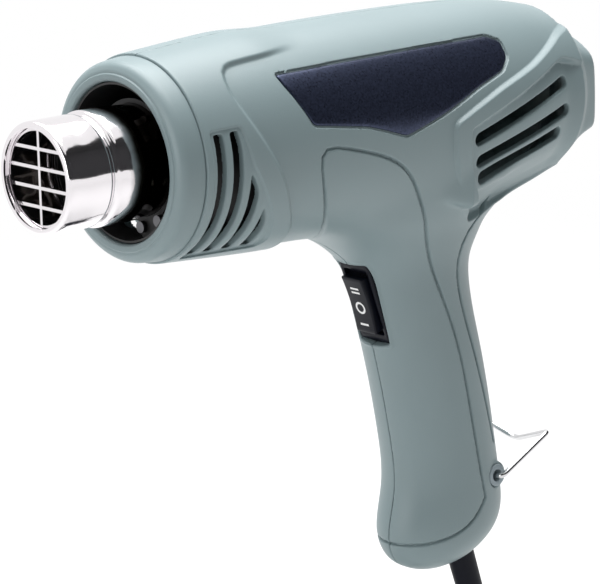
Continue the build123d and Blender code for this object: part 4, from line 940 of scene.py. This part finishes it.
# Rounded oblongs, one ring for each (half length, half width, corner radius, place out)
def oblongs(steps, count=8):
    halfLong, halfWide, corner, out = (column[:, None] for column in np.array(steps, float).T)
    angle = np.radians(np.concatenate([np.linspace(a, a + 90, count) for a in (0, 90, 180, 270)]))
    signV, signU = np.repeat((1, -1, -1, 1), count), np.repeat((1, 1, -1, -1), count)
    v = signV * (halfLong - corner) + corner * np.cos(angle)
    u = signU * (halfWide - corner) + corner * np.sin(angle)
    return switchPoint(v, out, u)


# Height of the rocker's face: the middle plus dip * (v / half length)^2
def rockerTop(v):
    return switch["middle"] + switch["dip"] * (v / switch["halfLong"]) ** 2


# The rocker's side profile, drawn in towards its sides by a quarter round
def rockerRings():
    halfLong, rounding = switch["halfLong"], switch["rounding"]
    face, end = np.linspace(-halfLong + 0.5, halfLong - 0.5, 25), rockerTop(halfLong)
    rear = np.array(((halfLong - 0.1, end - 0.25), (halfLong, end - 0.8), (halfLong - 0.6, -2.0),
                     (4.2, -6.0)))
    profile = np.vstack([np.stack([face, rockerTop(face)], 1), rear, rear[::-1] * (-1, 1)])
    onward = np.roll(profile, -1, 0) - np.roll(profile, 1, 0)
    inward = unit(np.stack([onward[:, 1], -onward[:, 0]], 1))
    inward *= np.sign(((profile.mean(0) - profile) * inward).sum(1))[:, None]
    turn = np.linspace(0, 1, 6) * math.pi / 2
    turn = np.concatenate([turn[::-1], turn])[:, None]
    across = np.repeat((-1, 1), 6)[:, None] * (switch["halfWide"] - rounding + rounding * np.sin(turn))
    rows = profile + inward * rounding * (1 - np.cos(turn))[..., None] * 0.8
    return switchPoint(rows[..., 0], rows[..., 1], across)


# Marks on the rocker: two bars, a ring and one bar, printed on its face
def marksMesh():
    half, thick = switch["barSize"]
    u, t = np.linspace(-half, half, 9), np.linspace(0, 2 * math.pi, 40, endpoint=False)
    grids = [(middle + np.array(((-thick,), (thick,))) + 0 * u, u, False) for middle in switch["bars"]]
    radii = np.array(switch["ringRadii"])[:, None]
    grids.append((radii * np.cos(t) + switch["ringAt"], radii * np.sin(t), True))
    points, faces = np.zeros((0, 3)), []
    for v, u, round in grids:
        faces.append(gridFaces(*v.shape, joinColumns=round) + len(points))
        points = np.vstack([points, switchPoint(v, rockerTop(v) + switch["ink"], u).reshape(-1, 3)])
    return meshOf("rocker_marks", fromPart(points), np.vstack(faces))


frameMesh = ringMesh("switch_frame", oblongs(switch["frame"]), True)
addPiece("switch_frame", frameMesh, "gun", ["switch_body"], "switch")
underMesh = ringMesh("switch_under", oblongs(switch["under"]))
addPiece("switch_under", underMesh, "gun", [], "switch")
capMesh = ringMesh("rocker_cap", rockerRings())
addPiece("rocker_cap", capMesh, "rocker", ["switch_rocker"], "switch")
addPiece("rocker_marks", marksMesh(), "rocker", [], "white")

# Cord boot: a taper with a rolled tip, and a collar inside the handle
boot = {"start": (11.77, 0, -57.6), "way": (0.302, 0, -0.953),
        "profile": [(-8.0, 3.65, 0), (-8.0, 7.5, 0.3), (-5.7, 7.5, 0.3), (-5.6, 4.9, 0.3), (3.0, 4.9, 2.0),
                    (45.2, 4.3, 0.5), (46.0, 4.1, 0.4), (46.0, 3.65, 0.2)]}
bootMesh = turned("cord_boot", boot["start"], boot["way"], boot["profile"], 5, 64)
addPiece("cord_boot", bootMesh, "gun", ["cord_sleeve"], "rubber")
note("pieces made")

# Nodes that keep their CAD shape, by finish
kept = {
    "blackPaintAndShade": ("heat_shield", "tube_spider", "heater_liner"), "ceramic": ("heater_base",),
    "mica": ("heater_former",), "heater": ("heater_coil",), "shadedSteel": ("spider_screws",),
    "steel": ("thermal_cutout", "motor_can", "motor_shaft", "motor_screws", "housing_screws",
              "clamp_screws"),
    "black": ("fan_duct", "board_parts", "cord_clamp", "cord_tie"), "nylon": ("fan",),
    "board": ("motor_board",), "brass": ("switch_blades",), "rubber": ("cord_inner",),
    "chrome": ("plug_pins", "outlet_grille"),
}
for finishName, nodeNames in kept.items():
    for nodeName in nodeNames:
        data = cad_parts[nodeName].data
        data.materials.clear()
        data.materials.append(finishes[finishName])
        data.shade_smooth()
note("kept nodes finished")

# Studio, in metres: a white floor and surround, broad lamps overhead and at the left, and black
# cards that only reflections see. The floor fades to plain white away from the object.
studio = {
    "floor": -0.169, "reach": 6.0, "fade": (0.35, 1.2), "ambient": 0.36,
    "cards": (1.8, 0.0, 2.25), "span": (-170, 15), "bar": (-0.35, 0.1, 0.14),
    "lamps": (("overhead", (0.1, 0.3, 1.5), (0, 0, 0.1), 1.5, 50),
              ("front_left", (-1.5, 0.1, 0.3), (0, 0, 0.0), 0.8, 5)),
}


def stageMesh(name, points, faces, finish):
    data = meshOf(name, points, faces, False)
    data.materials.append(finish.material)
    made = bpy.data.objects.new(name, data)
    scene.collection.objects.link(made)
    return made


# 1 for what the camera, gloss and glass see, 0 for light that falls on things
def seenRays(tree):
    camera, gloss, glass = (tree.node("ShaderNodeLightPath", output=f"Is {ray} Ray")
                            for ray in ("Camera", "Glossy", "Transmission"))
    return camera.most(gloss).most(glass)


def makeFloor():
    white = Finish("studio_white", (0.7, 0.7, 0.7), 0.9)
    level, reach = studio["floor"], studio["reach"]
    corners = [(x * reach, y * reach, level) for x, y in ((-1, -1), (1, -1), (1, 1), (-1, 1))]
    stageMesh("floor", corners, [(0, 1, 2, 3)], white)
    far = ((white.axis(0) ** 2 + white.axis(1) ** 2) ** 0.5).ramp(*studio["fade"])
    lit, glow = Signal(white, white.shader.outputs[0]), white.node("ShaderNodeEmission")
    mixed = white.node("ShaderNodeMixShader", None, {0: far * seenRays(white), 1: lit, 2: glow})
    white.links.new(mixed.socket, white.nodes["Material Output"].inputs["Surface"])


def makeCards(columns=17):
    away, low, high = studio["cards"]
    turn = np.linspace(*np.radians(studio["span"]), columns)[:, None]
    sides = np.broadcast_arrays(away * np.cos(turn), away * np.sin(turn), np.array((low, high)))
    wall = np.stack(sides, -1).reshape(-1, 3)
    near, far, half = studio["bar"]
    bar = [(near - half, -away, high), (near + half, -away, high),
           (far + half, away, high), (far - half, away, high)]
    faces = np.vstack([gridFaces(columns, 2), np.arange(4) + 2 * columns])
    black = Finish("card_black", (0.02, 0.02, 0.022), 0.9)
    cards = stageMesh("black_cards", np.vstack([wall, bar]), faces, black)
    cards.visible_camera = cards.visible_diffuse = cards.visible_shadow = False


def makeLights():
    world = bpy.data.worlds.new("studio")
    scene.world = world
    world.use_nodes = True
    tree = Tree(world.node_tree)
    back = tree.nodes["Background"]
    back.inputs["Color"].default_value = (1, 1, 1, 1)
    tree.links.new(seenRays(tree).most(studio["ambient"]).socket, back.inputs["Strength"])
    for name, place, aim, wide, power in studio["lamps"]:
        lamp = bpy.data.lights.new(name, "AREA")
        lamp.energy, lamp.size = power, wide
        holder = bpy.data.objects.new(name, lamp)
        scene.collection.objects.link(holder)
        holder.location = place
        holder.rotation_euler = (Vector(aim) - Vector(place)).to_track_quat("-Z", "Y").to_euler()


makeFloor()
makeCards()
makeLights()
note("studio made")

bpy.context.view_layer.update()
note("sizes written")
